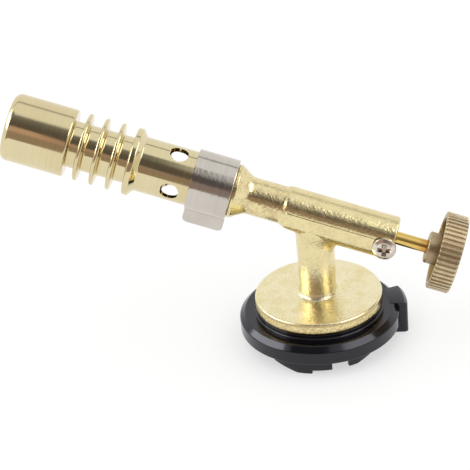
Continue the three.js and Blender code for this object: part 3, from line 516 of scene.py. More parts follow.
fineRings = {"ring": 0.2, "ringShade": 0.06, "ringDepth": 0.0015, "ringRough": 0.05}
plating = {**fineRings, "ringDepth": 0.002, "patch": 1.6, "wave": 1.5, "waveDepth": 0.02}
polishedBrass = finishOf("polished brass", turnedMetal, barrelFrame, Sizes(
    colour=(0.735, 0.64, 0.39, 1), cloud=(0.71, 0.60, 0.355, 1), patch=9, ring=0.16, ringShade=0.08,
    ringDepth=0.0012, ringRough=0.05, wave=5, waveDepth=0.012, roughness=(0.07, 0.13),
))
plainBrass = finishOf("plain brass", turnedMetal, barrelFrame, Sizes(
    colour=(0.80, 0.58, 0.18, 1), cloud=(0.74, 0.50, 0.14, 1), patch=5, wave=4, waveDepth=0.01,
    roughness=(0.07, 0.12), **fineRings,
    # painted reflection: the spindle turns orange-brown toward the knob's hub, as if the hub mirrored in it
    marks=[((0.55, 0.30, 0.08, 1), ("along", 32.5, 35.8))],
))
inletBrass = finishOf("inlet brass", turnedMetal, stemFrame, Sizes(
    colour=(0.78, 0.60, 0.24, 1), cloud=(0.66, 0.47, 0.16, 1), patch=4, ring=0.14, ringShade=0.18,
    ringDepth=0.004, ringRough=0.12, wave=4, waveDepth=0.01, roughness=(0.2, 0.32),
))
castBrass = finishOf("cast brass", castMetal, barrelFrame, Sizes(
    colour=(0.80, 0.69, 0.38, 1), cloud=(0.57, 0.45, 0.25, 1), cloudSize=2.2, speckleSize=0.35,
    neckEnd=-9.6, neckShare=0.85, bodyShare=0.35, discTop=16.0, discDull=0.16, pale=(0.86, 0.775, 0.505, 1),
    # the disc side's sizes that follow place its painted reflections: a dark band under the top edge and a
    # darkening toward the bottom
    paleCloud=(0.79, 0.68, 0.37, 1), paleRise=20, edgeLine=0.75, sideGrain=0.25, sideLow=12.6,
    sideHigh=14.0, sideColour=(0.84, 0.71, 0.38, 1), sideDark=(0.33, 0.23, 0.09, 1), waveSize=2.6,
    waveDepth=0.12, grainSize=0.42, grainDepth=0.11, pitDepth=0.01, roughness=(0.08, 0.14),
))
satinSteel = finishOf("satin steel", turnedMetal, barrelFrame, Sizes(
    colour=(0.61, 0.565, 0.505, 1), cloud=(0.57, 0.53, 0.48, 1), patch=6, wave=0.6, waveDepth=0.028,
    roughness=(0.1, 0.15), **fineRings,
))
nickelSteel = finishOf("nickel plate", turnedMetal, barrelFrame, Sizes(
    colour=(0.72, 0.67, 0.58, 1), cloud=(0.56, 0.48, 0.38, 1), roughness=(0.18, 0.3), **plating,
))
dullBrass = finishOf("dull brass", turnedMetal, barrelFrame, Sizes(  # marks: darker below the rib crests, and painted shade in the cup
    colour=(0.69, 0.58, 0.39, 1), cloud=(0.60, 0.48, 0.30, 1), patch=3, ring=0.15, ringShade=0.2,
    ringDepth=0.004, ringRough=0.12, wave=2, waveDepth=0.02, roughness=(0.34, 0.44),
    marks=[((0.46, 0.36, 0.22, 1), ("radius", 11.55, 12.0, 1.0, 0.0)),
           # painted shade: the cup's inside, between the rim and the hub, darkened to golden brown
           ((0.36, 0.24, 0.08, 1), ("along", 39.1, 39.6), ("along", 43.5, 43.8, 1.0, 0.0),
            ("radius", 10.1, 10.3, 1.0, 0.0))],
))
blackPlastic = finishOf("black plastic", moulded, stemFrame, Sizes(
    colour=(0.003, 0.003, 0.0045, 1), cloud=(0.005, 0.0048, 0.0065, 1), cloudSize=6, skinSize=0.25,
    skinDepth=0.003, waveSize=6, waveDepth=0.03, roughness=(0.09, 0.15), gloss=1.5,
    tint=(0.92, 0.9, 1.0, 1),
))
blackRubber = finishOf("black rubber", moulded, stemFrame, Sizes(
    colour=(0.016, 0.016, 0.016, 1), cloud=(0.028, 0.027, 0.026, 1), cloudSize=2, skinSize=0.15,
    skinDepth=0.012, waveSize=2, waveDepth=0.02, roughness=(0.6, 0.75), gloss=1.5, tint=(1.0, 1.0, 1.0, 1),
))
sinteredBronze = finishOf("sintered bronze", sintered, stemFrame, Sizes(
    colour=(0.42, 0.26, 0.11, 1), gap=(0.12, 0.07, 0.03, 1), grain=0.32, depth=0.12,
))
print("finishes made")


# Burner tube: an outline swept round the barrel's axis and drilled, all in one tree.
burner = Sizes(
    mouth=-96.4, radius=10.5, head=19.8, frontRounding=2.2, rearRounding=0.7, wall=1.3, bore=17, neck=7.2,
    throat=5.3, fins=3, fin=1.95, pitch=5.17, firstFin=3.05, root=0.5, finFoot=0.15, finLean=0.2,
    finCrest=1.35, finEdge=0.55, bead=3.35, beadGap=3.36, beadCrest=1.75, beadEdge=0.5, beadFoot=0.5,
    tail=8.45, tailLength=29.15, tailWall=1.2, taper=4, taperGap=2, hole=2.9, holeOffset=10.75, holes=4,
    holeTurn=-13, sides=220, lipStep=0.12, frontSteps=12, tailEdge=0.15, innerEdge=0.4, drillDepth=6.0,
)
headRear = burner.mouth + burner.head
finPlaces = [headRear + burner.firstFin + i * burner.pitch for i in range(burner.fins)]
beadFront = finPlaces[-1] + burner.fin + burner.beadGap
beadRear = beadFront + burner.bead
tailEnd = beadRear + burner.tailLength


def burnerOutline():
    size = burner
    bore, rounding, step = size.radius - size.wall, size.frontRounding, size.lipStep
    lip = asin((rounding - size.wall) / rounding)  # the bore ends the front rounding
    centre = size.mouth + rounding * cos(lip)
    points = [(size.mouth + step, bore), (size.mouth + step / 6, bore + step / 2)]
    for turn in between(lip, pi / 2, size.frontSteps)[1:]:
        points.append((centre - rounding * cos(turn), size.radius - rounding + rounding * sin(turn)))
    points += stepped(headRear, (size.radius, size.rearRounding), (size.neck, size.root))
    for place in finPlaces:  # steep in front, leaning behind, round on top
        crest = [(place + along, size.radius, size.finEdge) for along in (size.finLean, size.finCrest)]
        points += [(place, size.neck, size.finFoot), *crest, (place + size.fin, size.neck, size.root)]
    points += stepped(beadFront, (size.neck, size.root), (size.radius, size.beadEdge),
                      (beadFront + size.beadCrest, size.beadEdge))
    points += [(beadRear, size.tail, size.beadFoot)]
    throat = beadRear - size.taperGap
    points += stepped(tailEnd, (size.tail, size.tailEdge), (size.tail - size.tailWall, size.tailEdge),
                      (throat, size.innerEdge))
    points += [(throat - size.taper, size.throat, size.innerEdge)]
    points += stepped(size.mouth + size.bore, (size.throat, size.innerEdge), (bore, size.innerEdge))
    return softened(points, 7, loop=True)


def outlineMesh(outline, guide):
    # A closed chain of edges; the tree hangs it on a circle of the guide's radius.
    count = len(outline)
    mesh = bpy.data.meshes.new("outline")
    points = [(radius - guide, -place, 0) for place, radius in outline]
    mesh.from_pydata(points, [(i, (i + 1) % count) for i in range(count)], [])
    return mesh


tube = grown(outlineMesh(burnerOutline(), burner.tail), turnedTube, {
    "Sides": burner.sides, "Guide": burner.tail, "Holes": burner.holes, "Hole": burner.hole,
    "First turn": pi / 2 - radians(burner.holeTurn), "Circle": burner.tail,
    "Place": beadRear + burner.holeOffset, "Depth": burner.drillDepth,
}, polishedBrass)
tube = outward(tube)
addPiece("turned_burner", tube, barrelFrame, polishedBrass, ["burner_tube"], crease=28)

# Flame holder: a thick ring with a circle of holes.
holder = Sizes(
    gap=0.3, thick=3, hole=1.15, holes=8, inner=2.4, outer=8.9, circle=5.65, edge=0.3, drillDepth=8.0,
)
holderRear = burner.mouth + burner.bore - holder.gap
holderFront = holderRear - holder.thick
plate = grown(blockRing(holderFront, holderRear, holder, 120), drilled, {
    "Holes": holder.holes, "First turn": 0.0, "Circle": holder.circle, "Place": holderRear - holder.thick / 2,
    "Hole": holder.hole, "Depth": holder.drillDepth,
}, plainBrass)
addPiece("drilled_flame_holder", plate, barrelFrame, plainBrass, ["flame_holder"])

# Air collar: a strip swept round the tube and pinched into two ears.
collar = Sizes(
    inner=8.75, wall=0.7, length=12.7, ear=5.4, gap=0.5, corner=1.3, bend=1.2, edge=0.16, rearGap=0.1,
    earSteps=14, bendSteps=10, roundSteps=150,
)


def bentCollar():
    size = collar
    half = size.wall / 2
    middle = size.inner + half
    earX = size.gap / 2 + half
    bottom = -(size.inner + size.wall + size.ear)
    bend = size.bend + half
    bendX = earX + bend
    bendY = -sqrt((middle + bend) ** 2 - bendX ** 2)
    bendTurn = atan2(bendY, bendX)
    side = [((earX, y), (1, 0)) for y in between(bottom, bendY, size.earSteps)[:-1]]
    for turn in between(pi, pi + bendTurn, size.bendSteps):
        x, y = cos(turn), sin(turn)
        side.append(((bendX + bend * x, bendY + bend * y), (-x, -y)))
    path = side[:]
    for turn in between(bendTurn, pi - bendTurn, size.roundSteps)[1:-1]:
        x, y = cos(turn), sin(turn)
        path.append(((middle * x, middle * y), (x, y)))
    path += [((-x, y), (-nx, ny)) for (x, y), (nx, ny) in reversed(side)]
    rear = tailEnd - size.rearGap
    rows = []
    for (x, y), (nx, ny) in path:
        below = size.corner - (y - bottom)
        shrink = size.corner - sqrt(max(0.0, size.corner ** 2 - below ** 2)) if below > 0 else 0.0
        low, high = rear - size.length + shrink, rear - shrink
        section = [(low, -half), (low, half), (high, half), (high, -half)]
        section = softened([(*corner, size.edge) for corner in section], 2, loop=True)
        rows.append([(y + ny * out, x + nx * out, along) for along, out in section])
    return skinned(rows)


addPiece("bent_collar", bentCollar(), barrelFrame, satinSteel, ["air_collar"], "collar", 40)

# Cast body: barrel with its keel, stem and disc.
cast = Sizes(
    rimGap=0.05, rim=8.3, rimLength=1.05, rimEdge=0.3, cone=3.9, coneFillet=3.0, rimFillet=0.45, neck=5.8,
    neckEnd=-9.6, step=1.2, stepEdge=0.8, body=6.35, rear=25.8, edge=0.5, spigot=8, spigotRadius=6.95,
    spigotFillet=0.2, keelHalf=6.7, keelTop=1.6, keelFlat=2.2, keelDepth=6.9, keelLip=0.5, noseDepth=6,
    noseLength=10.5, noseRounding=0.9, noseSteps=6, keelSteps=30, endSteps=4, underSteps=40, jetBore=2.9,
    jetDepth=8.5, bushBore=4.6, bushDepth=12, screwPlace=23.27, screwDrop=0.75, screwSeat=6.1,
    screwHead=3.9, seatReach=9, screwHole=1.8, holeReach=7, feed=1.2, needleSeat=-4, seatLength=1.55,
    chamber=2.6, overrun=1,
)
disc = Sizes(
    bottom=12.1, thick=3.9, radius=20.05, topRadius=19.7, edge=0.7, foot=0.9, boss=8, bossEdge=0.3,
    ceiling=8.7, pillars=3, pillarTurn=60, pillarCircle=14.5, pillar=3.2, pillarFoot=10.3, screwHole=1.65,
    screwTop=14.58, socket=5.0, socketTop=13.9, bore=1.5,
)
stem = Sizes(
    foot=5.6, head=5.9, footFillet=3.2, footRise=1.0, leftFillet=2.2, rightFillet=2.4, shoulder=6.6,
    shoulderRise=3.9, leftLift=0.45, bury=1.5, sides=200, stemSteps=10, flareSteps=14,
)
rimPlace = tailEnd + cast.rimGap
spigotStart = rimPlace - cast.spigot
barrelHeight = barrelCentre.z / mm
tilt = atan2(-alongBarrel.z, alongBarrel.x)


def castBarrel():
    rimEnd = rimPlace + cast.rimLength
    return turned(softened([
        *stepped(spigotStart, 0, (cast.spigotRadius, cast.rimEdge), (rimPlace, cast.spigotFillet),
                 (cast.rim, cast.rimEdge), (rimEnd, cast.rimFillet)),
        (rimEnd + cast.cone, cast.neck, cast.coneFillet), (cast.neckEnd, cast.neck, cast.stepEdge),
        (cast.neckEnd + cast.step, cast.body, cast.stepEdge), *stepped(cast.rear, (cast.body, cast.edge), 0),
    ], 6), 200)


def castKeel():
    # Sections along the barrel: a flat top at the parting line, flat sides and a round underside.
    nose, rounding, edge = cast.neckEnd + cast.step, cast.noseRounding, cast.edge
    noseTurns, endTurns = (between(0, pi / 2, steps) for steps in (cast.noseSteps, cast.endSteps))
    stations = [(nose + rounding * (1 - cos(t)), rounding * (1 - sin(t))) for t in noseTurns]
    stations += [(place, 0.0) for place in between(nose + rounding, cast.rear - edge, cast.keelSteps)[1:]]
    stations += [(cast.rear - edge * (1 - sin(t)), edge * (1 - cos(t))) for t in endTurns[1:]]
    rows = []
    for place, inset in stations:
        share = min(1.0, (place - nose) / cast.noseLength)
        depth = cast.noseDepth + sin(share * pi / 2) * (cast.keelDepth - cast.noseDepth) - inset
        half, flat, top = cast.keelHalf - inset, cast.keelFlat, cast.keelTop - inset
        outline = [(top, -half, cast.keelLip), (top, half, cast.keelLip)]
        for turn in between(0, pi, cast.underSteps):
            outline.append((-flat - (depth - flat) * sin(turn), half * cos(turn)))
        rows.append([(x, y, place) for x, y in softened(outline, 6, loop=True)])
    return skinned(rows)


def castFoot():
    # Disc and stem in one skin; the stem's upper rings lean with the barrel and spread into its keel.
    top = disc.bottom + disc.thick
    under = barrelHeight - cast.keelDepth / cos(tilt)
    start = top + stem.footFillet + stem.footRise
    turns = between(0, 2 * pi, stem.sides)[:-1]
    profile = softened([
        (disc.ceiling, disc.boss), (disc.bottom, disc.boss, disc.bossEdge),
        (disc.bottom, disc.radius, disc.foot),
        *stepped(top, (disc.topRadius, disc.edge), (stem.foot, stem.footFillet), start),
    ], 8)

    def spreading(turn, share):
        # Radius and height of the flare: an arc along the barrel, a gentle shoulder across it.
        along = cos(turn)
        lean = atan(along * tan(tilt))
        rounding = stem.leftFillet + (stem.rightFillet - stem.leftFillet) * (1 + along) / 2
        corner = under - stem.head * tan(tilt) * along + stem.leftLift * max(0.0, -along)
        reach = rounding * tan(pi / 4 + lean / 2)
        sweep = share * (pi / 2 + lean)
        base, ease, weight = corner - reach, share * share * (3 - 2 * share), along * along
        arc = (stem.head + rounding * (1 - cos(sweep)), base + rounding * sin(sweep))
        side = (stem.head + (stem.shoulder - stem.head) * ease, base + share * (reach + stem.shoulderRise))
        return [a * weight + b * (1 - weight) for a, b in zip(arc, side)]

    def ringAt(spots):
        return [(radius * cos(t), radius * sin(t), height) for t, (radius, height) in zip(turns, spots)]

    rows = [ringAt([(radius, place)] * stem.sides) for place, radius in profile]
    first = [spreading(t, 0.0) for t in turns]
    for share in between(0, 1, stem.stemSteps)[1:-1]:
        spots = [[a + (b - a) * share for a, b in zip((stem.foot, start), spot)] for spot in first]
        rows.append(ringAt(spots))
    flare = [ringAt([spreading(t, share) for t in turns]) for share in between(0, 1, stem.flareSteps)]
    rows += flare + [[(x, y, z + stem.bury) for x, y, z in flare[-1]]]
    return skinned(rows)


def sideDrill(radius, fromDepth, toDepth):
    # A cylinder across the barrel at the retaining screw's place, drawn in the barrel's own frame.
    across = Matrix.Translation((-cast.screwDrop, 0, cast.screwPlace)) @ Matrix.Rotation(-pi / 2, 4, "X")
    return moved(rod(72, fromDepth, radius, toDepth), across)


screwRing = {
    "Copies": disc.pillars, "First turn": radians(disc.pillarTurn), "Circle": disc.pillarCircle, "Place": 0.0,
}
inStem = barrelFrame.inverted() @ stemFrame
inStem.translation = inStem.translation / mm
pillars = grown(rod(64, disc.pillarFoot, disc.pillar, disc.screwTop), repeated, screwRing, castBrass)
shell = cutWith(castBarrel(), [castKeel(), moved(castFoot(), inStem), moved(pillars, inStem)], "UNION")
chamberEnd = cast.rear - cast.bushDepth
barrelBore = turned([
    *stepped(spigotStart - cast.overrun, 0, cast.jetBore, spigotStart + cast.jetDepth, cast.feed,
             cast.needleSeat),
    (cast.needleSeat + cast.seatLength, cast.chamber),
    *stepped(chamberEnd, cast.chamber, cast.bushBore, cast.rear + cast.overrun, 0),
], 96)
stemBore = rod(72, disc.ceiling - cast.overrun, disc.socket, disc.socketTop, disc.bore, barrelHeight)
screwHole = rod(40, disc.pillarFoot - cast.overrun, disc.screwHole, disc.screwTop)
screwHoles = grown(screwHole, repeated, screwRing, castBrass)
shell = cutWith(shell, [
    barrelBore, moved(stemBore, inStem), moved(screwHoles, inStem),
    sideDrill(cast.screwHead, cast.screwSeat, cast.seatReach),
    sideDrill(cast.screwHole, cast.feed, cast.holeReach),
])
addPiece("cast_body", shell, barrelFrame, castBrass, ["body_casting"], crease=50)

# Screws with a cross in the head, drawn head up about z.
square = ((-1, -1), (1, -1), (1, 1), (-1, 1))
boxFaces = [(0, 3, 2, 1), (4, 5, 6, 7), (0, 1, 5, 4), (1, 2, 6, 5), (2, 3, 7, 6), (3, 0, 4, 7)]
dome = Sizes(  # shares of a head's thickness and radius, and of its cross
    rimEnd=0.55, shoulder=0.88, shoulderRadius=0.72, crown=0.3, shankEdge=0.2, underEdge=0.1, rimEdge=0.25,
    shoulderRounding=0.5, crownRounding=1.0, armFoot=0.5, footWidth=0.3, armTop=1.08, topWidth=0.58,
    above=0.3,
)


def crossScrew(size):
    head, thick = size.head, size.thick
    body = turned(softened([
        *stepped(-size.length, 0, (size.shank, dome.shankEdge), 0, (head, dome.underEdge),
                 (thick * dome.rimEnd, dome.rimEdge)),
        (thick * dome.shoulder, head * dome.shoulderRadius, dome.shoulderRounding),
        (thick, head * dome.crown, dome.crownRounding), (thick, 0),
    ], 4), 96)
    half = size.cross / 2
    corners = []
    for height, reach, wide in ((thick - size.deep, half * dome.armFoot, size.width * dome.footWidth),
                                (thick + dome.above, half * dome.armTop, size.width * dome.topWidth)):
        corners += [(x * reach, y * wide, height) for x, y in square]
    arms = []
    for turn in (radians(size.turn), radians(size.turn) + pi / 2):
        arms.append(moved(outward(meshOf(corners, boxFaces)), Matrix.Rotation(turn, 4, "Z")))
    return cutWith(body, arms)


retaining = Sizes(
    head=3.6, thick=1.8, shank=1.5, length=2.4, cross=4.7, width=1.5, deep=1.1, turn=12, gap=0.3,
)
screwSpot = barrelCentre + alongBarrel * cast.screwPlace * mm - barrelUp * cast.screwDrop * mm
screwSpot += nearSide * (cast.screwSeat + retaining.gap) * mm
screwFrame = frameOf(screwSpot, alongBarrel, barrelUp, nearSide)
screwNickel = finishOf("nickel plate with painted cross shade", turnedMetal, screwFrame, Sizes(  # its mark: painted shade deep in the cross recess
    colour=(0.72, 0.67, 0.60, 1), cloud=(0.58, 0.50, 0.42, 1), roughness=(0.16, 0.26), **plating,
    marks=[((0.40, 0.315, 0.25, 1), ("along", 1.38, 1.62, 1.0, 0.0), ("radius", 2.4, 2.6, 1.0, 0.0))],
))
holdingScrew = crossScrew(retaining)
addPiece("cross_head_screw", holdingScrew, screwFrame, screwNickel, ["retaining_screw"])

# Jet: a flange on the casting's bore, with the orifice in its nose.
jet = Sizes(
    gap=0.3, nose=4.4, noseRadius=1.3, collar=2.4, shank=2.6, flange=3.6, tail=5.5, bore=1.4, orifice=0.35,
    edge=0.2, flangeEdge=0.25,
)
jetPlace = spigotStart - jet.gap
addPiece("turned_jet", turnedRing([
    *stepped(jetPlace - jet.nose, jet.orifice, (jet.noseRadius, jet.edge)),
    *stepped(jetPlace - jet.collar, (jet.shank, jet.edge), (jet.flange, jet.flangeEdge),
             (jetPlace, jet.flangeEdge), jet.shank, (jetPlace + jet.tail, jet.edge), jet.bore,
             jetPlace - jet.collar, jet.orifice),
], 3, 72), barrelFrame, plainBrass, ["gas_jet"])

# Valve bush: a groove for its seal and one for the retaining screw's tip.
bush = Sizes(
    start=14.1, end=25.5, radius=4.3, rod=2.3, seal=2.6, sealHalf=1.0, sealGroove=2.6, grooveHalf=1.8,
    groove=3.6, startEdge=0.2, endEdge=0.3,
)
addPiece("turned_bush", turnedRing(stepped(
    bush.start, bush.rod, (bush.radius, bush.startEdge),
    *grooveAt(bush.start + bush.seal, bush.sealHalf, bush.sealGroove, bush.radius),
    *grooveAt(cast.screwPlace, bush.grooveHalf, bush.groove, bush.radius),
    (bush.end, bush.endEdge), (bush.rod, bush.endEdge),
), 4, 96), barrelFrame, plainBrass, ["valve_bush"])

# Spindle: needle, seal groove and a screw hole in the knob's end.
spindle = Sizes(
    start=-5.25, tip=0.4, tipEdge=0.1, needle=1.3, needleEnd=-0.25, taper=2.5, taperEdge=0.5, edge=0.2,
    rod=2.0, rodEdge=0.3, seal=10.5, sealHalf=0.85, groove=0.9, end=43.5, screwHole=1.4, holeStart=37.9,
)
addPiece("turned_spindle", turned(softened([
    (spindle.start, 0), (spindle.start, spindle.tip, spindle.tipEdge),
    (spindle.start + spindle.taper, spindle.needle, spindle.taperEdge),
    *stepped(spindle.needleEnd, (spindle.needle, spindle.edge), (spindle.rod, spindle.rodEdge),
             *grooveAt(spindle.seal, spindle.sealHalf, spindle.groove, spindle.rod),
             (spindle.end, spindle.edge), spindle.screwHole, spindle.holeStart, 0),
], 4), 72), barrelFrame, plainBrass, ["valve_spindle"], "valve_control")

# Control knob: a turned cup with a hub, then ribs round its rim.
knob = Sizes(
    front=39, length=6.7, radius=12.05, ribs=48, ribDepth=0.55, ribWall=0.9, ribSides=10, wallRows=14,
    wallOut=0.02, chamfer=0.6, cup=4, cupFloor=9.4, cupEdge=0.8, rimInner=10.0, rimLip=0.3, rimLipEdge=0.12,
    rimStep=0.35, rimFall=0.25, hub=4.9, hubLength=3.2, hubEdge=0.6, boreEdge=0.25, rod=2.3, dishInner=7.2,
    dishOuter=9.2, dish=0.8, dishRim=0.2, dishEdge=0.3, screwHead=2.9, screwRim=0.15, screwSeat=43.9,
    screwHole=1.4, rodEnd=43.8,
)


def knobMesh():
    rear, floor, hubFront = knob.front + knob.length, knob.front + knob.cup, knob.front - knob.hubLength
    start, end = knob.front + knob.rimFall, rear - knob.rimFall
    wall = stepped(hubFront, (knob.rod, knob.boreEdge), (knob.hub, knob.hubEdge), (floor, knob.hubEdge),
                   (knob.cupFloor, knob.cupEdge))
    wall += [(knob.front + knob.chamfer, knob.rimInner)]
    wall += stepped(knob.front, (knob.rimInner + knob.rimLip, knob.rimLipEdge), knob.radius - knob.rimStep)
    wall += [(start, knob.radius)]
    wall += [(place, knob.radius + knob.wallOut) for place in between(start, end, knob.wallRows)[1:-1]]
    wall += [(end, knob.radius)]
    wall += stepped(rear, knob.radius - knob.rimStep, (knob.dishOuter, knob.dishRim),
                    (rear - knob.dish, knob.dishEdge), (knob.dishInner, knob.dishEdge), (rear, knob.dishRim),
                    (knob.screwHead, knob.screwRim), knob.screwSeat, knob.screwHole, knob.rodEnd, knob.rod)
    return turnedRing(wall, 4, knob.ribs * knob.ribSides)


wheel = grown(knobMesh(), ribbed, {
    "Ribs": knob.ribs, "Radius": knob.radius, "Depth": knob.ribDepth, "Wall": knob.ribWall,
}, dullBrass)
addPiece("ribbed_knob", wheel, barrelFrame, dullBrass, ["control_knob"], "valve_control", 45)

endScrew = Sizes(
    head=2.6, thick=1.2, shank=1.1, length=6, cross=3.2, width=0.75, deep=0.7, turn=35, place=44.2,
)
endFrame = frameOf(barrelCentre + alongBarrel * endScrew.place * mm, barrelUp, nearSide, alongBarrel)
rearScrew = crossScrew(endScrew)
addPiece("knob_end_screw", rearScrew, endFrame, nickelSteel, ["knob_screw"], "valve_control")

# Bayonet ring: a turned plate with claws, teeth and an index lug.
ring = Sizes(
    radius=24.9, bottom=4.85, wallTop=8.95, top=10.6, slope=1.75, land=19.6, ceiling=8.7, clawOuter=22.4,
    clawInner=21.0, lip=19.4, lipThick=1.6, hub=8.3, seat=12.1, edge=0.35, fillet=0.4, bevel=0.5,
    seatEdge=0.2, sides=240, overlap=0.3, overrun=1,
)
grips = Sizes(
    claw=(-123, -90), clawFlat=-102, clawRamp=2.5, step=(-91, -74), stepHeight=1.1, tooth=(-60.5, -37),
    toothFlat=-53, toothHeight=1.2, toothRamp=1.9, copies=3, edge=0.25, lipEdge=0.2, lipRoot=0.5,
    lipSetBack=8.5, stepTurn=1.5,
)
lug = Sizes(
    radius=27.4, root=22.0, height=10.7, turns=(5, 28), corner=1.3, cornerSteps=6, faceSteps=8, chamfer=1.0,
    edge=0.3, footOut=0.1, wallOut=0.02, topIn=2, sides=220, overrun=1,
)
boss = Sizes(low=7.2, top=10.3, hole=1.65, radius=3.5, holeEdge=0.2, edge=0.3)
pocket = Sizes(low=6.2, hole=1.65, step=10.0, radius=3.5, top=13.1)


def bentWall(inner, outer, turns, foot, top, edge=grips.edge):
    # A wall round the axis. Its foot is flat up to one turn and slopes from there to the next.
    flatTurn, endTurn, flatHeight, endHeight = foot
    rows = []
    for degrees in between(*turns, max(4, round(abs(turns[1] - turns[0]) / grips.stepTurn))):
        share = min(1.0, max(0.0, (degrees - flatTurn) / (endTurn - flatTurn)))
        turn, low = radians(degrees), flatHeight + (endHeight - flatHeight) * share
        c, s = cos(turn), sin(turn)
        rows.append([(r * c, r * s, z) for r, z in ((inner, low), (outer, low), (outer, top), (inner, top))])
    return beveled(skinned(rows), edge)


def oneGrip():
    inner, outer, top = ring.clawInner, ring.clawOuter, ring.bottom + ring.overlap
    clawFoot = (grips.clawFlat, grips.claw[0], 0, grips.clawRamp)
    stepFoot = (*grips.step, grips.stepHeight, grips.stepHeight)
    toothFoot = (grips.toothFlat, grips.tooth[1], grips.toothHeight, grips.toothHeight + grips.toothRamp)
    lipTurns = (sum(grips.claw) / 2 - grips.lipSetBack, grips.claw[1])
    lip = bentWall(ring.lip, inner + grips.lipRoot, lipTurns, clawFoot, ring.lipThick, grips.lipEdge)
    step = bentWall(inner, outer, grips.step, stepFoot, top)
    claw = cutWith(bentWall(inner, outer, grips.claw, clawFoot, top), [lip, step], "UNION")
    both = bmesh.new()
    both.from_mesh(claw)
    both.from_mesh(bentWall(inner, outer, grips.tooth, toothFoot, top))
    both.to_mesh(claw)
    both.free()
    return claw


def indexLug():
    start, end = (radians(t) for t in lug.turns)
    corner = lug.radius - lug.corner
    inset = asin(lug.corner / corner)

    def spot(radius, turn, out=0.0, outTurn=0.0):
        return (radius * cos(turn) + out * cos(outTurn), radius * sin(turn) + out * sin(outTurn))

    def rounded(centre, fromTurn):
        turns = between(fromTurn, fromTurn + pi / 2 + inset, lug.cornerSteps)
        return [spot(corner, centre, lug.corner, turn) for turn in turns]

    outline = [spot(lug.root, start), *rounded(start + inset, start - pi / 2)]
    outline += [spot(lug.radius, turn) for turn in between(start + inset, end - inset, lug.faceSteps)[1:-1]]
    outline += [*rounded(end - inset, end - inset), spot(lug.root, end)]
    block = skinned([[(x, y, z) for x, y in outline] for z in (0.0, lug.height)])
    envelope = turned(softened([
        (-lug.overrun, 0), (-lug.overrun, lug.radius + lug.overrun), (0, lug.radius + lug.footOut),
        (lug.height - lug.chamfer, lug.radius + lug.wallOut), (lug.height, lug.radius - lug.chamfer),
        (lug.height + lug.overrun, lug.radius - lug.topIn), (lug.height + lug.overrun, 0),
    ]), lug.sides)
    return beveled(cutWith(block, [envelope], "INTERSECT"), lug.edge, 3, 35)


def ringMesh():
    plate = turnedRing(
        stepped(ring.ceiling, (ring.hub, ring.seatEdge), (ring.clawInner, ring.fillet),
                (ring.bottom, ring.edge), (ring.radius, ring.fillet), (ring.wallTop, ring.bevel))
        + stepped(ring.top, (ring.radius - ring.slope, ring.fillet), (ring.land, ring.bevel),
                  (ring.seat, ring.seatEdge), (ring.hub, ring.seatEdge)),
        5, ring.sides)
    inPlace = {"Copies": grips.copies, "First turn": 0.0, "Circle": 0.0, "Place": 0.0}
    allGrips = grown(oneGrip(), repeated, inPlace, blackPlastic)
    clear = rod(ring.sides, -ring.overrun, ring.clawInner, ring.ceiling)
    oneBoss = stepped(boss.low, (boss.hole, boss.holeEdge), (boss.radius, boss.edge), boss.top, boss.hole)
    oneBoss = turnedRing(oneBoss, 3, 64)
    onePocket = rod(48, pocket.low, pocket.hole, pocket.step, pocket.radius, pocket.top)
    bosses, pockets = (grown(mesh, repeated, screwRing, blackPlastic) for mesh in (oneBoss, onePocket))
    whole = cutWith(plate, [cutWith(indexLug(), [clear]), allGrips], "UNION")
    return cutWith(cutWith(whole, [bosses], "UNION"), [pockets])


addPiece("moulded_ring", ringMesh(), stemFrame, blackPlastic, ["bayonet_base"], crease=35)

footScrew = Sizes(head=2.75, thick=1.6, shank=1.35, length=6.8, cross=3.6, width=0.8, deep=0.9, turn=20)
headDown = moved(crossScrew(footScrew), Matrix.Rotation(pi, 4, "X"))
footScrews = grown(headDown, repeated, {**screwRing, "Place": boss.low}, nickelSteel)
screwNodes = ["base_screw_1", "base_screw_2", "base_screw_3"]
addPiece("ring_screws", footScrews, stemFrame, nickelSteel, screwNodes)

# Gas inlet: a turned bush with four notches in its flange, and the seal in its mouth.
inlet = Sizes(
    mouth=5.0, socket=4.2, spigot=6.4, flangeLow=6.2, flange=9.6, flangeTop=8.7, neck=4.7, grooveLow=9.9,
    groove=3.0, grooveTop=11.9, end=13.6, cavity=3.2, filterSeat=12.3, bore=1.6, floor=8.0, mouthEdge=0.25,
    edge=0.3, fine=0.2,
)
notch = Sizes(long=1.6, wide=1.5, high=2.5, edge=0.2, copies=4)
seal = Sizes(low=5.3, high=7.7, inner=2.0, outer=3.9, edge=0.3)
inletBush = turnedRing(stepped(
    inlet.mouth, (inlet.socket, inlet.mouthEdge), (inlet.spigot, inlet.edge), inlet.flangeLow,
    (inlet.flange, inlet.edge), (inlet.flangeTop, inlet.fine), inlet.neck, inlet.grooveLow, inlet.groove,
    inlet.grooveTop, inlet.neck, (inlet.end, inlet.fine), inlet.cavity, inlet.filterSeat, inlet.bore,
    (inlet.floor, inlet.fine), inlet.socket,
), 4, 120)
block = [(x * notch.long, y * notch.wide, z * notch.high) for z in (-1, 1) for x, y in square]
notches = grown(beveled(meshOf(block, boxFaces), notch.edge), repeated, {
    "Copies": notch.copies, "First turn": 0.0, "Circle": inlet.flange, "Place": inlet.flangeLow,
}, inletBrass)
addPiece("notched_inlet", cutWith(inletBush, [notches]), stemFrame, inletBrass, ["inlet_bush"])
softSeal = blockRing(seal.low, seal.high, seal, 96)
addPiece("soft_inlet_seal", softSeal, stemFrame, blackRubber, ["inlet_seal"])

for name in ("jet_filter", "inlet_filter", "bush_seal", "spindle_seal", "inlet_ring"):
    for held in frame["nodes"][name].material_slots:
        held.material = sinteredBronze if "filter" in name else blackRubber
print("kept nodes finished")

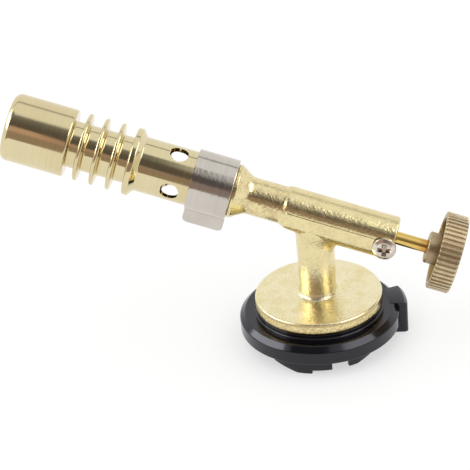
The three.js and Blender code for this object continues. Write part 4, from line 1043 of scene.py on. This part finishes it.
# Studio: pale floor, soft lamps and a dark camera side that the brass mirrors.
studio = Sizes(
    floor=3.0, floorShade=0.45, floorGlow=0.55, softLight=0.99, keyPower=1.3, fillPower=0.6, leftPower=5.4,
    rightPower=3.4, stripGrey=0.40, screenRadius=0.6, screenSteps=48,
)
white, canopyGrey = (1, 1, 1, 1), (0.2, 0.2, 0.195, 1)


def stageMesh(name, points, faces, finish, onlyMirrored=False):
    mesh = meshOf(points, faces)
    mesh.materials.append(finish)
    item = linked(name, mesh)
    if onlyMirrored:
        item.visible_camera = item.visible_diffuse = item.visible_shadow = item.visible_transmission = False


def emission(tree, colour, power=1.0):
    return nodeIn(tree, "ShaderNodeEmission", {"Color": colour, "Strength": power})[0]


def floorShader(tree):
    matte = nodeIn(tree, "ShaderNodeBsdfDiffuse", {"Color": (studio.floorShade,) * 3 + (1,)})[0]
    return fed("ShaderNodeAddShader", {0: matte, 1: emission(tree, white, studio.floorGlow)})


def screenShader(tree):
    # Mirrored from the camera's side: brown below, copper by the burner, dark above, a window at the right.
    spot = partsOf(objectSpot(tree))
    x, z = spot["X"], spot["Z"]
    low = blended(spread(z, 0.2, 0.32), (0.37, 0.28, 0.225, 1), (0.62, 0.42, 0.34, 1))
    warm = blended(spread(x, -0.07, 0.03), low, (0.34, 0.265, 0.235, 1))
    grey = blended(spread(z, 0.55, 1.4), (0.125, 0.108, 0.102, 1), (0.20, 0.20, 0.195, 1))
    above = sumOf("SUBTRACT", z, spread(x, -0.035, 0.04, 0.47, 0.29))
    colour = blended(spread(above, -0.05, 0.05), warm, grey)
    beside = sumOf("SUBTRACT", x, spread(z, 0.6, 1.7, 0.185, 0.41))
    window = times(spread(beside, -0.05, 0.05), spread(z, 0.4, 1.1, 0.3, 0.85))
    window = times(window, spread(z, 0.36, 0.46))
    light = sumOf("MAXIMUM", window, times(spread(z, 1.35, 2.3), spread(x, 0.05, 0.2)))
    return emission(tree, blended(light, colour, white))


def stripShader(tree):
    # A grey band behind, lower toward the right.
    spot = partsOf(objectSpot(tree))
    x, z = spot["X"], spot["Z"]
    away = sumOf("ABSOLUTE", sumOf("SUBTRACT", z, spread(x, 0.05, 0.35, 0.96, 0.78)))
    return emission(tree, blended(spread(away, 0.03, 0.19, 1.0, 0.0), white, (studio.stripGrey,) * 3 + (1,)))


def curvedScreen(name, turns, heights, finish):
    steps, radius = studio.screenSteps, studio.screenRadius
    points = []
    for turn in map(radians, between(*turns, steps)):
        points += [(radius * sin(turn), -radius * cos(turn), z) for z in heights]
    faces = [(2 * k, 2 * k + 2, 2 * k + 3, 2 * k + 1) for k in range(steps)]
    stageMesh(name, points, faces, finish, onlyMirrored=True)


floorPoints = [(x * studio.floor, y * studio.floor, 0) for x, y in square]
stageMesh("floor", floorPoints, [(0, 1, 2, 3)], finishOf("pale floor", floorShader))
curvedScreen("dark_side", (-47, 47), (0.001, 3.4), finishOf("dark side", screenShader))
curvedScreen("left_canopy", (-78, -47), (1.15, 3.4), finishOf("canopy", emission, canopyGrey))
curvedScreen("left_box", (-108, -56), (0.27, 0.72), finishOf("left box", emission, white, studio.leftPower))
curvedScreen("right_box", (47, 112), (0.42, 0.86), finishOf("right box", emission, white, studio.rightPower))
curvedScreen("rear_strip", (120, 240), (0.5, 1.25), finishOf("rear strip", stripShader))


def softLamp(name, place, power, size):
    light = bpy.data.lights.new(name, "AREA")
    light.shape = "DISK"
    light.size = size
    light.energy = power
    lamp = linked(name, light)
    lamp.location = place
    lamp.rotation_euler = (Vector((0, 0, 0.03)) - Vector(place)).to_track_quat("-Z", "Y").to_euler()
    lamp.visible_glossy = False


softLamp("key_lamp", (-0.35, -0.45, 1.1), studio.keyPower, 0.9)
softLamp("fill_lamp", (0.7, 0.1, 0.8), studio.fillPower, 0.8)

# White to the camera and in mirrors, and a little softer as light.
world = bpy.data.worlds.new("white room")
scene.world = world
world.use_nodes = True
sky = world.node_tree
sky.nodes.clear()
rays = nodeIn(sky, "ShaderNodeLightPath")
mirrored = sumOf("MAXIMUM", rays["Is Glossy Ray"], rays["Is Transmission Ray"])
seen = sumOf("MAXIMUM", rays["Is Camera Ray"], mirrored)
level = fed("ShaderNodeMapRange", {"Value": seen, "To Min": studio.softLight, "To Max": 1.0})
backdrop = fed("ShaderNodeBackground", {"Color": white, "Strength": level})
sky.links.new(backdrop, sky.nodes.new("ShaderNodeOutputWorld").inputs[0])
print("studio set")

# Camera at the photograph's place.
camera = Sizes(
    place=(0.10721, -0.53225, 0.34902), right=(0.98493, 0.15499, -0.07681), up=(-0.01225, 0.50543, 0.86279),
    back=(0.17255, -0.84884, 0.49970), lens=156.1,
)
view = bpy.data.cameras.new("photograph view")
view.lens = camera.lens
view.sensor_width = 36
view.sensor_fit = "HORIZONTAL"
view.clip_end = 20
viewpoint = linked("photograph view", view)
viewpoint.matrix_world = frameOf(*(Vector(camera[key]) for key in ("place", "right", "up", "back")))
scene.camera = viewpoint
scene.view_settings.view_transform = "Standard"
